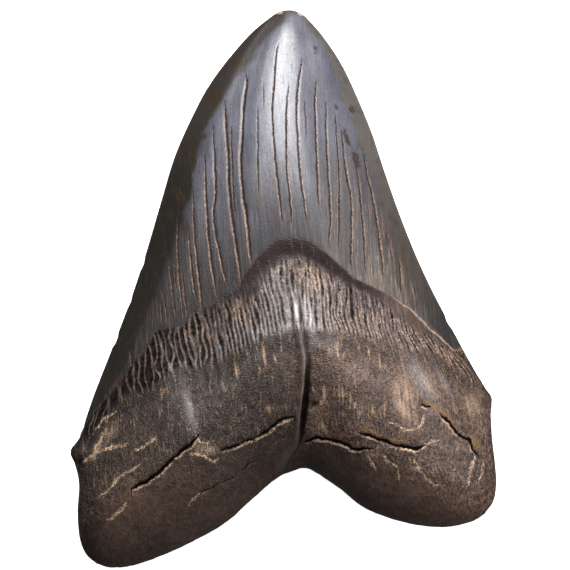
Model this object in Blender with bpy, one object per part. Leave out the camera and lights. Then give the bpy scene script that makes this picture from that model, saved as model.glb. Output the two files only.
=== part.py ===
"""A fossil megalodon tooth, one natural piece, lying on its outer (labial) face.

The tip points to +Y, the inner (lingual) face with its cracks and root bulge
looks up, and the lowest faces lie on z = 0. Lengths are written in millimetres
and become metres where a mesh is made.
"""

import math

import bmesh
import bpy
import numpy as np
from mathutils import Vector
from mathutils.bvhtree import BVHTree

MM = 0.001
OBJECT_NAME = "megalodon_tooth"

# Outline seen from above, from the tip down each cutting edge to where the enamel ends
TIP_ARC = [(-3.2, 68.0), (-1.0, 69.4), (1.9, 69.8), (4.0, 69.2), (5.5, 68.3)]
LEFT_CUTTING_EDGE = [
    (-3.2, 68.0), (-8.0, 64.0), (-13.3, 58.0), (-17.8, 52.0), (-21.3, 46.0), (-26.8, 34.0),
    (-30.5, 22.0), (-34.0, 10.0), (-37.9, -2.0), (-42.4, -14.0), (-47.1, -26.0), (-50.0, -34.4),
]
RIGHT_CUTTING_EDGE = [
    (5.5, 68.3), (9.4, 64.0), (13.6, 58.0), (16.8, 52.0), (21.9, 40.0), (25.9, 28.0),
    (30.2, 16.0), (35.2, 4.0), (41.2, -8.0), (47.7, -20.0), (50.9, -25.2),
]

# Outline of the root: each side with its small knob, and the two lobes with the arch between
LEFT_ROOT_SIDE = [
    (-50.0, -34.4), (-51.2, -37.8), (-53.1, -40.8), (-51.8, -44.2), (-50.8, -49.0),
    (-51.2, -56.0), (-50.7, -62.0), (-49.2, -66.2), (-46.5, -68.7),
]
RIGHT_ROOT_SIDE = [
    (50.9, -25.2), (52.2, -27.2), (52.2, -29.4), (51.9, -32.0), (52.2, -38.0),
    (52.9, -44.0), (53.2, -49.0), (52.4, -53.2), (50.2, -56.4),
]
ROOT_BASE = [
    (-46.5, -68.7), (-42.5, -69.7), (-36.0, -68.8), (-25.8, -64.8), (-15.0, -59.0), (-8.4, -53.3),
    (-1.5, -47.4), (2.3, -45.7), (5.3, -44.9), (8.2, -46.0), (14.4, -50.2), (20.5, -54.9),
    (30.5, -58.5), (40.0, -59.6), (47.0, -58.2), (50.2, -56.4),
]

# Where the enamel ends on each face
LINGUAL_ENAMEL_LINE = [
    (-50.0, -34.4), (-40.8, -21.6), (-31.0, -10.8), (-23.0, -7.6), (-15.0, -2.0), (-8.0, 6.0),
    (0.3, 13.0), (9.5, 9.8), (20.0, 1.3), (32.0, -5.6), (43.0, -15.6), (50.9, -25.2),
]
LABIAL_ENAMEL_LINE = [
    (-50.0, -34.4), (-38.0, -32.0), (-24.0, -28.0), (-8.0, -22.5), (4.0, -20.5), (17.0, -21.5),
    (31.0, -24.0), (42.0, -25.5), (50.9, -25.2),
]

# Mesh density: columns across the tooth, rows down the crown and down the root
COLUMNS = 36
CROWN_ROWS = 19
ROOT_ROWS = 21

# Height of the edge all round: the cutting edge, then the middle of the rounded root side
TIP_EDGE_Z = 3.4
CROWN_EDGE_Z = 4.8
ROOT_EDGE_Z = 9.5

# Height along the middle of the inner face, down the crown and then down the root. The crown
# rises steeply from its rounded tip and is nearly level where the enamel ends.
CROWN_BASE_Z = 20.6
TIP_ROUNDING = 0.2
CROWN_STEEPNESS = 1.92
ROOT_CREST = [
    (0.0, 20.1), (0.1, 20.8), (0.24, 23.8), (0.36, 26.8), (0.46, 28.0), (0.58, 27.4),
    (0.72, 25.2), (1.0, 20.5),
]
# The enamel ends in a small step down to the root, this share of the root's height wide
LEDGE_SHARE = 0.012

# How far up the root its rounded foot reaches on each face, as a share of its height
LINGUAL_FOOT = 0.34
LABIAL_FOOT = 0.13

# The valley down the middle of the root, and the lips of the nutrient groove in it
VALLEY_DEPTH = 1.7
VALLEY_WIDTH = 7.0
LOBE_SWELL = 1.1
LOBE_CREST_DROP = 0.18
LIP_HEIGHT = 0.7
LIP_WIDTH = 1.1
LIP_OFFSET = 1.7

# The small knobs where the enamel meets each side of the root
KNOBS = [((-51.0, -41.0), 1.5), ((50.4, -29.4), 1.1)]
KNOB_RADIUS = 2.2

# Nutrient groove and the cracks of the root: width, depth and route, top or inner end first
NUTRIENT_GROOVE = (1.5, 1.9, [
    (4.2, -1.2), (4.8, -6.5), (5.8, -13.0), (6.2, -17.5), (6.0, -23.5), (5.4, -29.0),
    (4.9, -34.0), (4.2, -37.8), (3.3, -41.2),
])
ROOT_CRACKS = [
    (1.0, 1.3, [
        (3.2, -32.0), (0.0, -32.8), (-2.8, -34.8), (-5.3, -36.0), (-9.3, -37.5), (-12.0, -38.5),
        (-14.8, -39.0), (-17.5, -40.3),
    ]),
    (1.1, 1.5, [
        (-22.0, -37.6), (-24.8, -39.5), (-27.8, -42.3), (-31.8, -45.8), (-35.8, -48.8),
        (-37.6, -50.0), (-38.6, -52.8), (-40.5, -54.6), (-43.0, -56.6),
    ]),
    (0.6, 0.7, [
        (-5.3, -42.8), (-8.0, -43.4), (-10.8, -45.8), (-14.8, -47.8), (-19.0, -49.6),
        (-22.0, -51.8),
    ]),
    (1.0, 1.3, [
        (5.3, -38.0), (7.8, -37.5), (11.0, -37.3), (15.0, -39.0), (17.8, -39.3), (19.8, -39.5),
        (22.5, -39.7),
    ]),
    (0.9, 1.1, [
        (17.8, -34.0), (20.5, -35.5), (24.0, -36.8), (27.3, -38.0), (30.5, -39.2), (32.8, -39.0),
        (35.5, -38.0),
    ]),
    (1.0, 1.3, [
        (33.5, -28.3), (36.0, -29.0), (39.3, -31.5), (40.8, -33.5), (42.8, -35.5), (46.0, -37.5),
        (46.8, -40.0), (49.3, -42.8),
    ]),
]

# The strongest cracks down the enamel: width, and route from the top
ENAMEL_CRACK_DEPTH = 0.55
ENAMEL_CRACKS = [
    (0.45, [(-9.2, 54.0), (-9.8, 46.0), (-10.3, 37.0), (-10.0, 23.0), (-8.5, 13.0), (-7.9, 6.5)]),
    (0.45, [(-14.5, 46.5), (-13.8, 33.5), (-13.2, 23.0), (-12.2, 15.2), (-10.3, 2.0)]),
    (0.35, [(-17.2, 41.0), (-17.0, 31.8), (-17.2, 17.2), (-14.8, 4.5), (-13.5, 0.2)]),
    (0.45, [(-1.0, 61.5), (-1.8, 58.0), (-2.7, 44.0), (-2.5, 38.8), (-1.0, 23.0), (0.0, 15.4)]),
    (0.35, [(1.5, 51.0), (1.0, 37.0), (1.0, 30.0), (1.8, 21.5), (2.3, 15.4)]),
    (0.35, [(5.0, 58.0), (4.0, 51.0), (3.8, 37.0), (5.0, 23.0), (6.0, 15.4)]),
    (0.35, [(8.3, 52.3), (8.2, 37.0), (8.8, 23.0), (9.0, 19.6)]),
    (0.35, [(10.8, 47.5), (11.0, 33.5), (11.8, 17.2), (11.3, 10.2)]),
    (0.35, [(14.5, 40.5), (16.8, 23.0), (17.0, 17.2), (16.8, 5.4)]),
    (0.35, [(20.3, 37.4), (22.3, 23.0), (24.0, 12.2), (25.0, 2.2)]),
    (0.35, [(-19.5, 33.5), (-19.0, 19.5), (-17.0, 2.2), (-16.2, -1.4)]),
    (0.35, [(-23.5, 15.2), (-23.0, 8.8), (-22.0, 0.0), (-20.5, -5.0)]),
]
CRACK_RISE = 1.2
CRACK_STEP = 2.2
CRACK_END = 0.3

BODY_COLOR = (0.075, 0.062, 0.055, 1.0)
BODY_ROUGHNESS = 0.45
SHARP_ANGLE = math.radians(40)


def smooth_curve(points, steps=14):
    """A Catmull-Rom curve through the points, as a dense run of points."""
    knots = np.array(points, float)
    knots = np.vstack([2 * knots[0] - knots[1], knots, 2 * knots[-1] - knots[-2]])
    t = np.linspace(0, 1, steps, endpoint=False)[:, None]
    run = []
    for a, b, c, d in zip(knots, knots[1:], knots[2:], knots[3:]):
        run.append(b + 0.5 * t * (c - a + t * (2 * a - 5 * b + 4 * c - d + t * (3 * (b - c) + d - a))))
    return np.vstack(run + [knots[-2:-1]])


def at_shares(curve, shares):
    """Points at shares of a curve's length."""
    lengths = np.hypot(*np.diff(curve, axis=0).T)
    reached = np.append(0, np.cumsum(lengths)) / lengths.sum()
    return np.column_stack([np.interp(shares, reached, curve[:, axis]) for axis in (0, 1)])


def coons_patch(top, bottom, left, right, across, down):
    """Points of a patch between four curves that share their corners, one row for each share down."""
    top = at_shares(smooth_curve(top), across)[None]
    bottom = at_shares(smooth_curve(bottom), across)[None]
    left = at_shares(smooth_curve(left), down)[:, None]
    right = at_shares(smooth_curve(right), down)[:, None]
    u = across[None, :, None]
    v = down[:, None, None]
    corners = (1 - v) * ((1 - u) * top[:, :1] + u * top[:, -1:])
    corners = corners + v * ((1 - u) * bottom[:, :1] + u * bottom[:, -1:])
    return (1 - v) * top + v * bottom + (1 - u) * left + u * right - corners


def smoothstep(x):
    x = np.clip(x, 0, 1)
    return x * x * (3 - 2 * x)


def curve_height(points, at):
    """Heights read from a smooth curve through (position, height) points."""
    curve = smooth_curve(points)
    return np.interp(at, curve[:, 0], curve[:, 1])


def bump(distance, width):
    return np.exp(-((distance / width) ** 2))


def edge_height(crown, root):
    """Height of the outline: a thin cutting edge that thickens into the rounded root side."""
    along_crown = TIP_EDGE_Z + (CROWN_EDGE_Z - TIP_EDGE_Z) * crown
    return along_crown + (ROOT_EDGE_Z - CROWN_EDGE_Z) * smoothstep(root / 0.3)


def rounded_foot(root, reach):
    """One above the foot of the root, falling to zero at the outline in a quarter round."""
    return np.sqrt(np.clip(1 - np.clip((root - 1 + reach) / reach, 0, 1) ** 2, 0, 1))


def signed_offset(x, y, route):
    """Sideways distance from a route that runs down the tooth, and how far inside its ends."""
    curve = smooth_curve(route)[::-1]
    inside = smoothstep((curve[-1, 1] - y) / 5) * smoothstep((y - curve[0, 1]) / 5)
    return x - np.interp(y, curve[:, 1], curve[:, 0]), inside


def lingual_height(x, y, across, crown, root):
    """The inner face: a domed crown, and a root that bulges to its crest and rounds off below."""
    edge = edge_height(crown, root)
    rise = CROWN_STEEPNESS * crown - (CROWN_STEEPNESS - 1) * crown ** 2
    rise = TIP_ROUNDING * np.sqrt(crown) + (1 - TIP_ROUNDING) * rise
    crown_crest = TIP_EDGE_Z + (CROWN_BASE_Z - TIP_EDGE_Z) * rise
    down_root = root * (1 - LOBE_CREST_DROP * np.abs(across))
    crest = np.where(root > 0, curve_height(ROOT_CREST, down_root), crown_crest)
    lens = (1 - across ** 2) ** 1.2
    full = (1 - np.abs(across) ** 2.7) ** 0.6
    share = lens + (full - lens) * smoothstep(root / 0.55)
    z = edge + (crest - edge) * share

    offset, inside = signed_offset(x, y, NUTRIENT_GROOVE[2])
    below = smoothstep(root / 0.35)
    z = z - VALLEY_DEPTH * below * bump(offset, VALLEY_WIDTH)
    z = z + LOBE_SWELL * below * bump(np.abs(across) - 0.5, 0.25)
    z = z + LIP_HEIGHT * inside * bump(offset + LIP_OFFSET, LIP_WIDTH)

    z = edge + (z - edge) * rounded_foot(root, LINGUAL_FOOT)
    for (knob_x, knob_y), height in KNOBS:
        z = z + height * bump(np.hypot(x - knob_x, y - knob_y), KNOB_RADIUS)
    return z


def labial_height(across, crown, root):
    """The outer face: nearly flat, lifted at the tip, hollow at the neck and between the lobes."""
    edge = edge_height(crown, root)
    tip_lift = 2.4 * (1 - smoothstep(crown / 0.35))
    neck = 1.1 * bump(crown + root - 1.05, 0.14)
    between_lobes = 1.6 * bump(across, 0.34) * smoothstep(root / 0.4)
    low = tip_lift + neck + between_lobes - 0.45
    wedge = np.abs(across) ** 2.4
    rounded = 1 - np.sqrt(1 - np.abs(across) ** 9)
    side = wedge + (rounded - wedge) * smoothstep(root / 0.35)
    z = low + (edge - low) * side
    z = edge + (z - edge) * rounded_foot(root, LABIAL_FOOT)
    return np.maximum(z, 0)


def face_sheet(enamel_line, lingual):
    """One face of the tooth as a grid laid over its crown and root, ending on the outline."""
    spread = np.linspace(-1, 1, COLUMNS + 1)
    across = np.sin(spread * math.pi / 2)
    crown_rows = np.linspace(0, 1, CROWN_ROWS + 1) ** 1.15
    root_rows = np.sin(np.linspace(0, 1, ROOT_ROWS + 1) * math.pi / 2)
    root_rows = 0.55 * root_rows + 0.45 * np.linspace(0, 1, ROOT_ROWS + 1)
    root_rows[0] = LEDGE_SHARE
    shares = (across + 1) / 2
    crown_xy = coons_patch(
        TIP_ARC, enamel_line, LEFT_CUTTING_EDGE, RIGHT_CUTTING_EDGE, shares, crown_rows
    )
    root_xy = coons_patch(
        enamel_line, ROOT_BASE, LEFT_ROOT_SIDE, RIGHT_ROOT_SIDE, shares, root_rows
    )
    xy = np.concatenate([crown_xy, root_xy])
    crown = np.append(crown_rows, np.ones(len(root_rows)))[:, None]
    root = np.append(np.zeros(len(crown_rows)), root_rows)[:, None]
    across = across[None]
    if lingual:
        z = lingual_height(xy[..., 0], xy[..., 1], across, crown, root)
    else:
        z = labial_height(across, crown, root)
    on_edge = (np.abs(across) == 1) | (crown == 0) | (root == 1)
    z = np.where(on_edge, edge_height(crown, root), z)
    points = np.concatenate([xy, z[..., None]], axis=2).reshape(-1, 3) * MM

    sheet = bmesh.new()
    bmesh.ops.create_grid(sheet, x_segments=COLUMNS, y_segments=len(xy) - 1, size=1)
    for vertex, point in zip(sheet.verts, points):
        vertex.co = point
    if lingual:
        bmesh.ops.reverse_faces(sheet, faces=sheet.faces[:])
    return sheet


def solid_tooth():
    """Both faces welded along the outline into one closed mesh."""
    whole = bmesh.new()
    for enamel_line, lingual in ((LINGUAL_ENAMEL_LINE, True), (LABIAL_ENAMEL_LINE, False)):
        sheet = face_sheet(enamel_line, lingual)
        part = bpy.data.meshes.new("face")
        sheet.to_mesh(part)
        sheet.free()
        whole.from_mesh(part)
        bpy.data.meshes.remove(part)
    bmesh.ops.remove_doubles(whole, verts=whole.verts, dist=0.00001)
    return whole


def crack_profile(width, depth, collection):
    """A thin kite, point down, that a crack's cutter is swept from."""
    curve = bpy.data.curves.new("crack_profile", "CURVE")
    curve.dimensions = "2D"
    spline = curve.splines.new("POLY")
    corners = [(width / 2, 0), (0, CRACK_RISE), (-width / 2, 0), (0, -depth)]
    spline.points.add(len(corners) - 1)
    for point, (x, y) in zip(spline.points, corners):
        point.co = (x * MM, y * MM, 0, 1)
    spline.use_cyclic_u = True
    profile = bpy.data.objects.new("crack_profile", curve)
    collection.objects.link(profile)
    return profile


def crack_cutter(name, width, depth, route, surface, collection):
    """A closed cutter that follows a route over the inner face and thins out at both ends."""
    run = smooth_curve(route)
    length = np.hypot(*np.diff(run, axis=0).T).sum()
    shares = np.linspace(0, 1, max(3, round(length / CRACK_STEP)) + 1)
    profile = crack_profile(width, depth, collection)
    curve = bpy.data.curves.new(name, "CURVE")
    curve.dimensions = "3D"
    curve.twist_mode = "Z_UP"
    curve.bevel_mode = "OBJECT"
    curve.bevel_object = profile
    curve.use_fill_caps = True
    spline = curve.splines.new("POLY")
    spline.points.add(len(shares) - 1)
    for point, share, (x, y) in zip(spline.points, shares, at_shares(run, shares)):
        hit = surface.ray_cast(Vector((x * MM, y * MM, 1)), Vector((0, 0, -1)))[0]
        point.co = (*hit, 1)
        point.radius = CRACK_END + (1 - CRACK_END) * math.sin(math.pi * share) ** 0.5
    guide = bpy.data.objects.new(name, curve)
    collection.objects.link(guide)

    evaluated = guide.evaluated_get(bpy.context.evaluated_depsgraph_get())
    mesh = bpy.data.meshes.new_from_object(evaluated)
    shape = bmesh.new()
    shape.from_mesh(mesh)
    bmesh.ops.remove_doubles(shape, verts=shape.verts, dist=0.000001)
    bmesh.ops.recalc_face_normals(shape, faces=shape.faces[:])
    shape.to_mesh(mesh)
    shape.free()
    cutter = bpy.data.objects.new(name, mesh)
    cutter.matrix_world = guide.matrix_world
    cutter.hide_render = True
    cutter.display_type = "WIRE"
    collection.objects.link(cutter)
    bpy.data.objects.remove(guide)
    bpy.data.objects.remove(profile)
    return cutter


def fossil_material():
    material = bpy.data.materials.new("fossil")
    material.use_nodes = True
    shader = material.node_tree.nodes["Principled BSDF"]
    shader.inputs["Base Color"].default_value = BODY_COLOR
    shader.inputs["Roughness"].default_value = BODY_ROUGHNESS
    shader.inputs["Metallic"].default_value = 0.0
    material.diffuse_color = BODY_COLOR
    return material


def new_collection(name):
    collection = bpy.data.collections.new(name)
    bpy.context.scene.collection.children.link(collection)
    return collection


def build():
    for old in list(bpy.data.objects):
        bpy.data.objects.remove(old)
    parts = new_collection(OBJECT_NAME)
    cutters = new_collection("crack_cutters")

    whole = solid_tooth()
    surface = BVHTree.FromBMesh(whole)
    mesh = bpy.data.meshes.new("tooth")
    whole.to_mesh(mesh)
    whole.free()
    mesh.materials.append(fossil_material())
    tooth = bpy.data.objects.new("tooth", mesh)
    parts.objects.link(tooth)

    crack_cutter("nutrient_groove", *NUTRIENT_GROOVE, surface, cutters)
    for number, (width, depth, route) in enumerate(ROOT_CRACKS, 1):
        crack_cutter(f"root_crack_{number}", width, depth, route, surface, cutters)
    for number, (width, route) in enumerate(ENAMEL_CRACKS, 1):
        crack_cutter(
            f"enamel_crack_{number}", width, ENAMEL_CRACK_DEPTH, route, surface, cutters
        )
    cut = tooth.modifiers.new("cracks", "BOOLEAN")
    cut.operation = "DIFFERENCE"
    cut.operand_type = "COLLECTION"
    cut.collection = cutters

    mesh.shade_smooth()
    mesh.set_sharp_from_angle(angle=SHARP_ANGLE)


build()
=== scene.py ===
"""A fossil megalodon tooth, lying on its outer face on a pale studio floor.

The tooth is one piece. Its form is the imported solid's own, worked out from the same outline and
heights, and on it lie the cracks of the enamel, the wrinkled band under the crown, the nutrient
groove and the cracked, pitted root. The tooth's lengths are in millimetres and become metres in its
mesh, and the studio's are in metres.
"""

import logging
import math
from collections.abc import Iterator
from dataclasses import dataclass, field, replace
from enum import Enum
from functools import reduce

import bmesh
import bpy
import numpy as np
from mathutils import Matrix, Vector


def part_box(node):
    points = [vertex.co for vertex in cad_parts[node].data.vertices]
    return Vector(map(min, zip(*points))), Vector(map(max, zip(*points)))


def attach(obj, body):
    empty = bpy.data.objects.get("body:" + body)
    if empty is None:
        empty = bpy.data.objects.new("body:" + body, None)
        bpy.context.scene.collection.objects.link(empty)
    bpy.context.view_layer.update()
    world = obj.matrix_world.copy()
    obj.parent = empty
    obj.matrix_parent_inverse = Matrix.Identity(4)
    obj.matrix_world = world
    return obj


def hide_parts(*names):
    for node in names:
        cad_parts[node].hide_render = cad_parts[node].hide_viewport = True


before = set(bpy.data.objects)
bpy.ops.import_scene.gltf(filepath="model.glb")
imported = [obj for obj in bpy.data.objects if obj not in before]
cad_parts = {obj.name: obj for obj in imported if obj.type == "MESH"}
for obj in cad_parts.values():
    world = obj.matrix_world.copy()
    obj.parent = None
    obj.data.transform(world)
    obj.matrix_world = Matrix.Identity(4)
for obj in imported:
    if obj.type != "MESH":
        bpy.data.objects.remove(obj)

MM = 0.001
TOOTH_NODE = "tooth"
TOOTH_BODY = "root"
CRACK_LAYERS = ("crack_a", "crack_b", "crack_c")

Array = np.ndarray
Points = tuple[tuple[float, float], ...]
Colour = tuple[float, float, float]

# Colours that the enamel and the root share
FLECK_TAN: Colour = (0.38, 0.245, 0.150)
WORN_TAN: Colour = (0.34, 0.235, 0.165)

# The painted deep shade inside open cracks and the other hollows, also laid over the band
DEEP_SHADE: Colour = (0.006, 0.004, 0.003)

# Ripples in a millimetre of the root's upper part, along each axis
RIPPLES = (1.5, 3.2, 2.0)

# How near a share of the tooth has to come to its end to count as being there
NEARLY = 1e-6

# The sockets of a Mix node that mixes colours
MIX_SHARE, MIX_FIRST, MIX_SECOND, MIX_RESULT = 0, 6, 7, 2

log = logging.getLogger("tooth")


class Face(Enum):
    """The two faces of the tooth, by the value kept on their vertices."""

    LINGUAL = 1.0
    LABIAL = 0.0


class Hand(Enum):
    """The side of a crack that its pale filling lies on, as seen walking along its route."""

    RIGHT = 1.0
    LEFT = -1.0


# Curves and noise


def smoothstep(x: Array) -> Array:
    """A smooth rise from 0 to 1 as x goes from 0 to 1."""
    x = np.clip(x, 0, 1)
    return x * x * (3 - 2 * x)


def bump(distance: Array, width: float) -> Array:
    """A bell of height 1, a few widths across."""
    return np.exp(-((distance / width) ** 2))


def smooth_curve(points: Points, steps: int = 14) -> Array:
    """Draws a smooth curve through points.

    Args:
        points: The points, in order.
        steps: How many pieces each stretch between two points is cut into.

    Returns:
        The curve as a dense run of points.
    """
    knots = np.array(points, float)
    knots = np.vstack([2 * knots[0] - knots[1], knots, 2 * knots[-1] - knots[-2]])
    t = np.linspace(0, 1, steps, endpoint=False)[:, None]
    run = []
    for a, b, c, d in zip(knots, knots[1:], knots[2:], knots[3:]):
        run.append(b + 0.5 * t * (c - a + t * (2 * a - 5 * b + 4 * c - d + t * (3 * (b - c) + d - a))))
    return np.vstack(run + [knots[-2:-1]])


def at_shares(curve: Array, shares: Array) -> Array:
    """Reads points off a curve.

    Args:
        curve: A run of points.
        shares: Shares of the curve's length, from 0 to 1.

    Returns:
        One point for each share.
    """
    lengths = np.hypot(*np.diff(curve, axis=0).T)
    reached = np.append(0, np.cumsum(lengths)) / lengths.sum()
    return np.column_stack([np.interp(shares, reached, curve[:, axis]) for axis in (0, 1)])


def curve_height(points: Points, at: Array) -> Array:
    """Heights read from a smooth curve through (position, height) points."""
    curve = smooth_curve(points)
    return np.interp(at, curve[:, 0], curve[:, 1])


def lattice(x: Array, y: Array, seed: int) -> Array:
    """Scrambles whole-number places into random values.

    Args:
        x: Whole numbers.
        y: Whole numbers.
        seed: Which pattern.

    Returns:
        A value from -1 to 1 for each place, the same each time.
    """
    n = (x.astype(np.int64) * 374761393 + y.astype(np.int64) * 668265263 + seed * 974711) & 0xFFFFFFFF
    n = ((n ^ (n >> 13)) * 1274126177) & 0xFFFFFFFF
    n = ((n ^ (n >> 16)) * 2246822519) & 0xFFFFFFFF
    return ((n ^ (n >> 15)) & 0xFFFF) / 32767.5 - 1


def noise(x: Array, y: Array, seed: int) -> Array:
    """Smooth random values over a plane.

    Args:
        x: Places across, where 1 is the size of one bump.
        y: Places along, in the same units.
        seed: Which pattern.

    Returns:
        Values from about -1 to 1.
    """
    x, y = np.broadcast_arrays(x, y)
    left, low = np.floor(x), np.floor(y)
    u, v = smoothstep(x - left), smoothstep(y - low)
    bottom = lattice(left, low, seed) * (1 - u) + lattice(left + 1, low, seed) * u
    top = lattice(left, low + 1, seed) * (1 - u) + lattice(left + 1, low + 1, seed) * u
    return bottom * (1 - v) + top * v


def fractal(x: Array, y: Array, seed: int, octaves: int = 3) -> Array:
    """Noise with finer noise added, each layer twice as fine and half as strong."""
    total = sum(noise(x * 2**n, y * 2**n, seed + n) / 2**n for n in range(octaves))
    return total / (2 - 2.0 ** (1 - octaves))


def nearest_on(run: Array, x: Array, y: Array) -> tuple[Array, Array]:
    """Finds how far points lie from a run of points.

    Args:
        run: The run, in order.
        x: Places of the points.
        y: Places of the points.

    Returns:
        The signed distance, positive on the right of the run's direction, and the share of the
        run's length at the nearest place.
    """
    lengths = np.hypot(*np.diff(run, axis=0).T)
    reached = np.append(0, np.cumsum(lengths))
    best = np.full(x.shape, np.inf)
    side = np.ones(x.shape)
    share = np.zeros(x.shape)
    for start, end, length, before in zip(run, run[1:], lengths, reached):
        if length == 0:
            continue
        along_x, along_y = (end - start) / length
        dx, dy = x - start[0], y - start[1]
        along = np.clip(dx * along_x + dy * along_y, 0, length)
        distance = np.hypot(dx - along * along_x, dy - along * along_y)
        closer = distance < best
        best = np.where(closer, distance, best)
        side = np.where(closer, np.sign(dx * along_y - dy * along_x), side)
        share = np.where(closer, (before + along) / reached[-1], share)
    return best * np.where(side == 0, 1, side), share


# The form of the tooth


@dataclass(frozen=True)
class ToothForm:
    """The tooth's outline, and the heights of its two faces above the floor.

    A place on a face is given by across, from -1 at the left edge to 1 at the right, and down, from
    0 at the tip through 1 where the enamel ends to 2 at the foot of the root.
    """

    tip_arc: Points = ((-3.2, 68.0), (-1.0, 69.4), (1.9, 69.8), (4.0, 69.2), (5.5, 68.3))
    left_cutting_edge: Points = (
        (-3.2, 68.0), (-8.0, 64.0), (-13.3, 58.0), (-17.8, 52.0), (-21.3, 46.0), (-26.8, 34.0),
        (-30.5, 22.0), (-34.0, 10.0), (-37.9, -2.0), (-42.4, -14.0), (-47.1, -26.0), (-50.0, -34.4),
    )
    right_cutting_edge: Points = (
        (5.5, 68.3), (9.4, 64.0), (13.6, 58.0), (16.8, 52.0), (21.9, 40.0), (25.9, 28.0),
        (30.2, 16.0), (35.2, 4.0), (41.2, -8.0), (47.7, -20.0), (50.9, -25.2),
    )
    left_root_side: Points = (
        (-50.0, -34.4), (-51.2, -37.8), (-53.1, -40.8), (-51.8, -44.2), (-50.8, -49.0),
        (-51.2, -56.0), (-50.7, -62.0), (-49.2, -66.2), (-46.5, -68.7),
    )
    right_root_side: Points = (
        (50.9, -25.2), (52.2, -27.2), (52.2, -29.4), (51.9, -32.0), (52.2, -38.0),
        (52.9, -44.0), (53.2, -49.0), (52.4, -53.2), (50.2, -56.4),
    )
    root_base: Points = (
        (-46.5, -68.7), (-42.5, -69.7), (-36.0, -68.8), (-25.8, -64.8), (-15.0, -59.0),
        (-8.4, -53.3), (-1.5, -47.4), (2.3, -45.7), (5.3, -44.9), (8.2, -46.0), (14.4, -50.2),
        (20.5, -54.9), (30.5, -58.5), (40.0, -59.6), (47.0, -58.2), (50.2, -56.4),
    )
    lingual_enamel_line: Points = (
        (-50.0, -34.4), (-40.8, -21.6), (-31.0, -10.8), (-23.0, -7.6), (-15.0, -2.0), (-8.0, 6.0),
        (0.3, 13.0), (9.5, 9.8), (20.0, 1.3), (32.0, -5.6), (43.0, -15.6), (50.9, -25.2),
    )
    labial_enamel_line: Points = (
        (-50.0, -34.4), (-38.0, -32.0), (-24.0, -28.0), (-8.0, -22.5), (4.0, -20.5), (17.0, -21.5),
        (31.0, -24.0), (42.0, -25.5), (50.9, -25.2),
    )
    groove_route: Points = (
        (4.2, -1.2), (4.8, -6.5), (5.8, -13.0), (6.2, -17.5), (6.0, -23.5), (5.4, -29.0),
        (4.9, -34.0), (4.2, -37.8), (3.3, -41.2),
    )
    root_crest: Points = (
        (0.0, 20.6), (0.1, 21.0), (0.24, 23.8), (0.36, 26.8), (0.46, 28.0), (0.58, 27.4),
        (0.72, 25.2), (1.0, 20.5),
    )
    knobs: tuple[tuple[float, float, float], ...] = ((-51.0, -41.0, 1.5), (50.4, -29.4, 1.1))
    knob_radius: float = 2.2
    tip_edge_z: float = 3.4
    crown_edge_z: float = 4.8
    root_edge_z: float = 9.5
    crown_base_z: float = 20.6
    edge_reach: float = 0.3
    tip_rounding: float = 0.2
    crown_steepness: float = 1.92
    crown_roundness: float = 1.2
    root_flatness: float = 2.7
    root_roundness: float = 0.6
    root_full_at: float = 0.55
    lobe_crest_drop: float = 0.18
    lingual_foot: float = 0.34
    labial_foot: float = 0.13
    valley_depth: float = 1.7
    valley_width: float = 7.0
    lobe_swell: float = 1.1
    lobe_middle: float = 0.5
    lobe_width: float = 0.25
    lobes_full_at: float = 0.35
    lip_height: float = 0.7
    lip_width: float = 1.1
    lip_offset: float = 1.7
    groove_fade: float = 5.0
    tip_lift: float = 2.4
    tip_lift_reach: float = 0.35
    neck_hollow: float = 1.1
    neck_down: float = 1.05
    neck_width: float = 0.14
    bay_hollow: float = 1.6
    bay_width: float = 0.34
    bay_full_at: float = 0.4
    labial_sink: float = 0.45
    labial_wedge: float = 2.4
    labial_roundness: int = 9
    labial_round_at: float = 0.35

    def enamel_line(self, face: Face) -> Points:
        """The line where the enamel ends on one face."""
        return self.lingual_enamel_line if face is Face.LINGUAL else self.labial_enamel_line

    def rim(self) -> Array:
        """Joins the curves of the outline.

        Returns:
            The whole outline as one closed run of points.
        """
        sides = (
            self.tip_arc, self.right_cutting_edge, self.right_root_side, self.root_base[::-1],
            self.left_root_side[::-1], self.left_cutting_edge[::-1],
        )
        return np.vstack([smooth_curve(side, 6) for side in sides])

    def outline(self, across: Array, down: Array, face: Face) -> Array:
        """Lays places of one face out in plan, on two patches between the outline's curves.

        Args:
            across: Places across the tooth.
            down: Places down the tooth.
            face: Which face.

        Returns:
            Points in plan.
        """
        enamel = self.enamel_line(face)
        crown = self._patch(
            self.tip_arc, enamel, self.left_cutting_edge, self.right_cutting_edge, across, down
        )
        root = self._patch(
            enamel, self.root_base, self.left_root_side, self.right_root_side, across, down - 1
        )
        return np.where((down <= 1)[:, None], crown, root)

    @staticmethod
    def _patch(
        top: Points, bottom: Points, left: Points, right: Points, across: Array, down: Array
    ) -> Array:
        """Lays places out on a patch between four curves that share their corners.

        Args:
            top: The upper curve, from left to right.
            bottom: The lower curve, from left to right.
            left: The left curve, downwards.
            right: The right curve, downwards.
            across: Places across the patch, from -1 to 1.
            down: Places down the patch, from 0 to 1.

        Returns:
            Points in plan.
        """
        ends = np.array([0.0, 1.0])
        corners_top = at_shares(smooth_curve(top), ends)
        corners_bottom = at_shares(smooth_curve(bottom), ends)
        u = ((across + 1) / 2)[:, None]
        v = np.clip(down, 0, 1)[:, None]
        corners = (1 - v) * ((1 - u) * corners_top[0] + u * corners_top[1])
        corners = corners + v * ((1 - u) * corners_bottom[0] + u * corners_bottom[1])
        up_down = (1 - v) * at_shares(smooth_curve(top), u[:, 0])
        up_down = up_down + v * at_shares(smooth_curve(bottom), u[:, 0])
        sideways = (1 - u) * at_shares(smooth_curve(left), v[:, 0])
        sideways = sideways + u * at_shares(smooth_curve(right), v[:, 0])
        return up_down + sideways - corners

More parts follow.
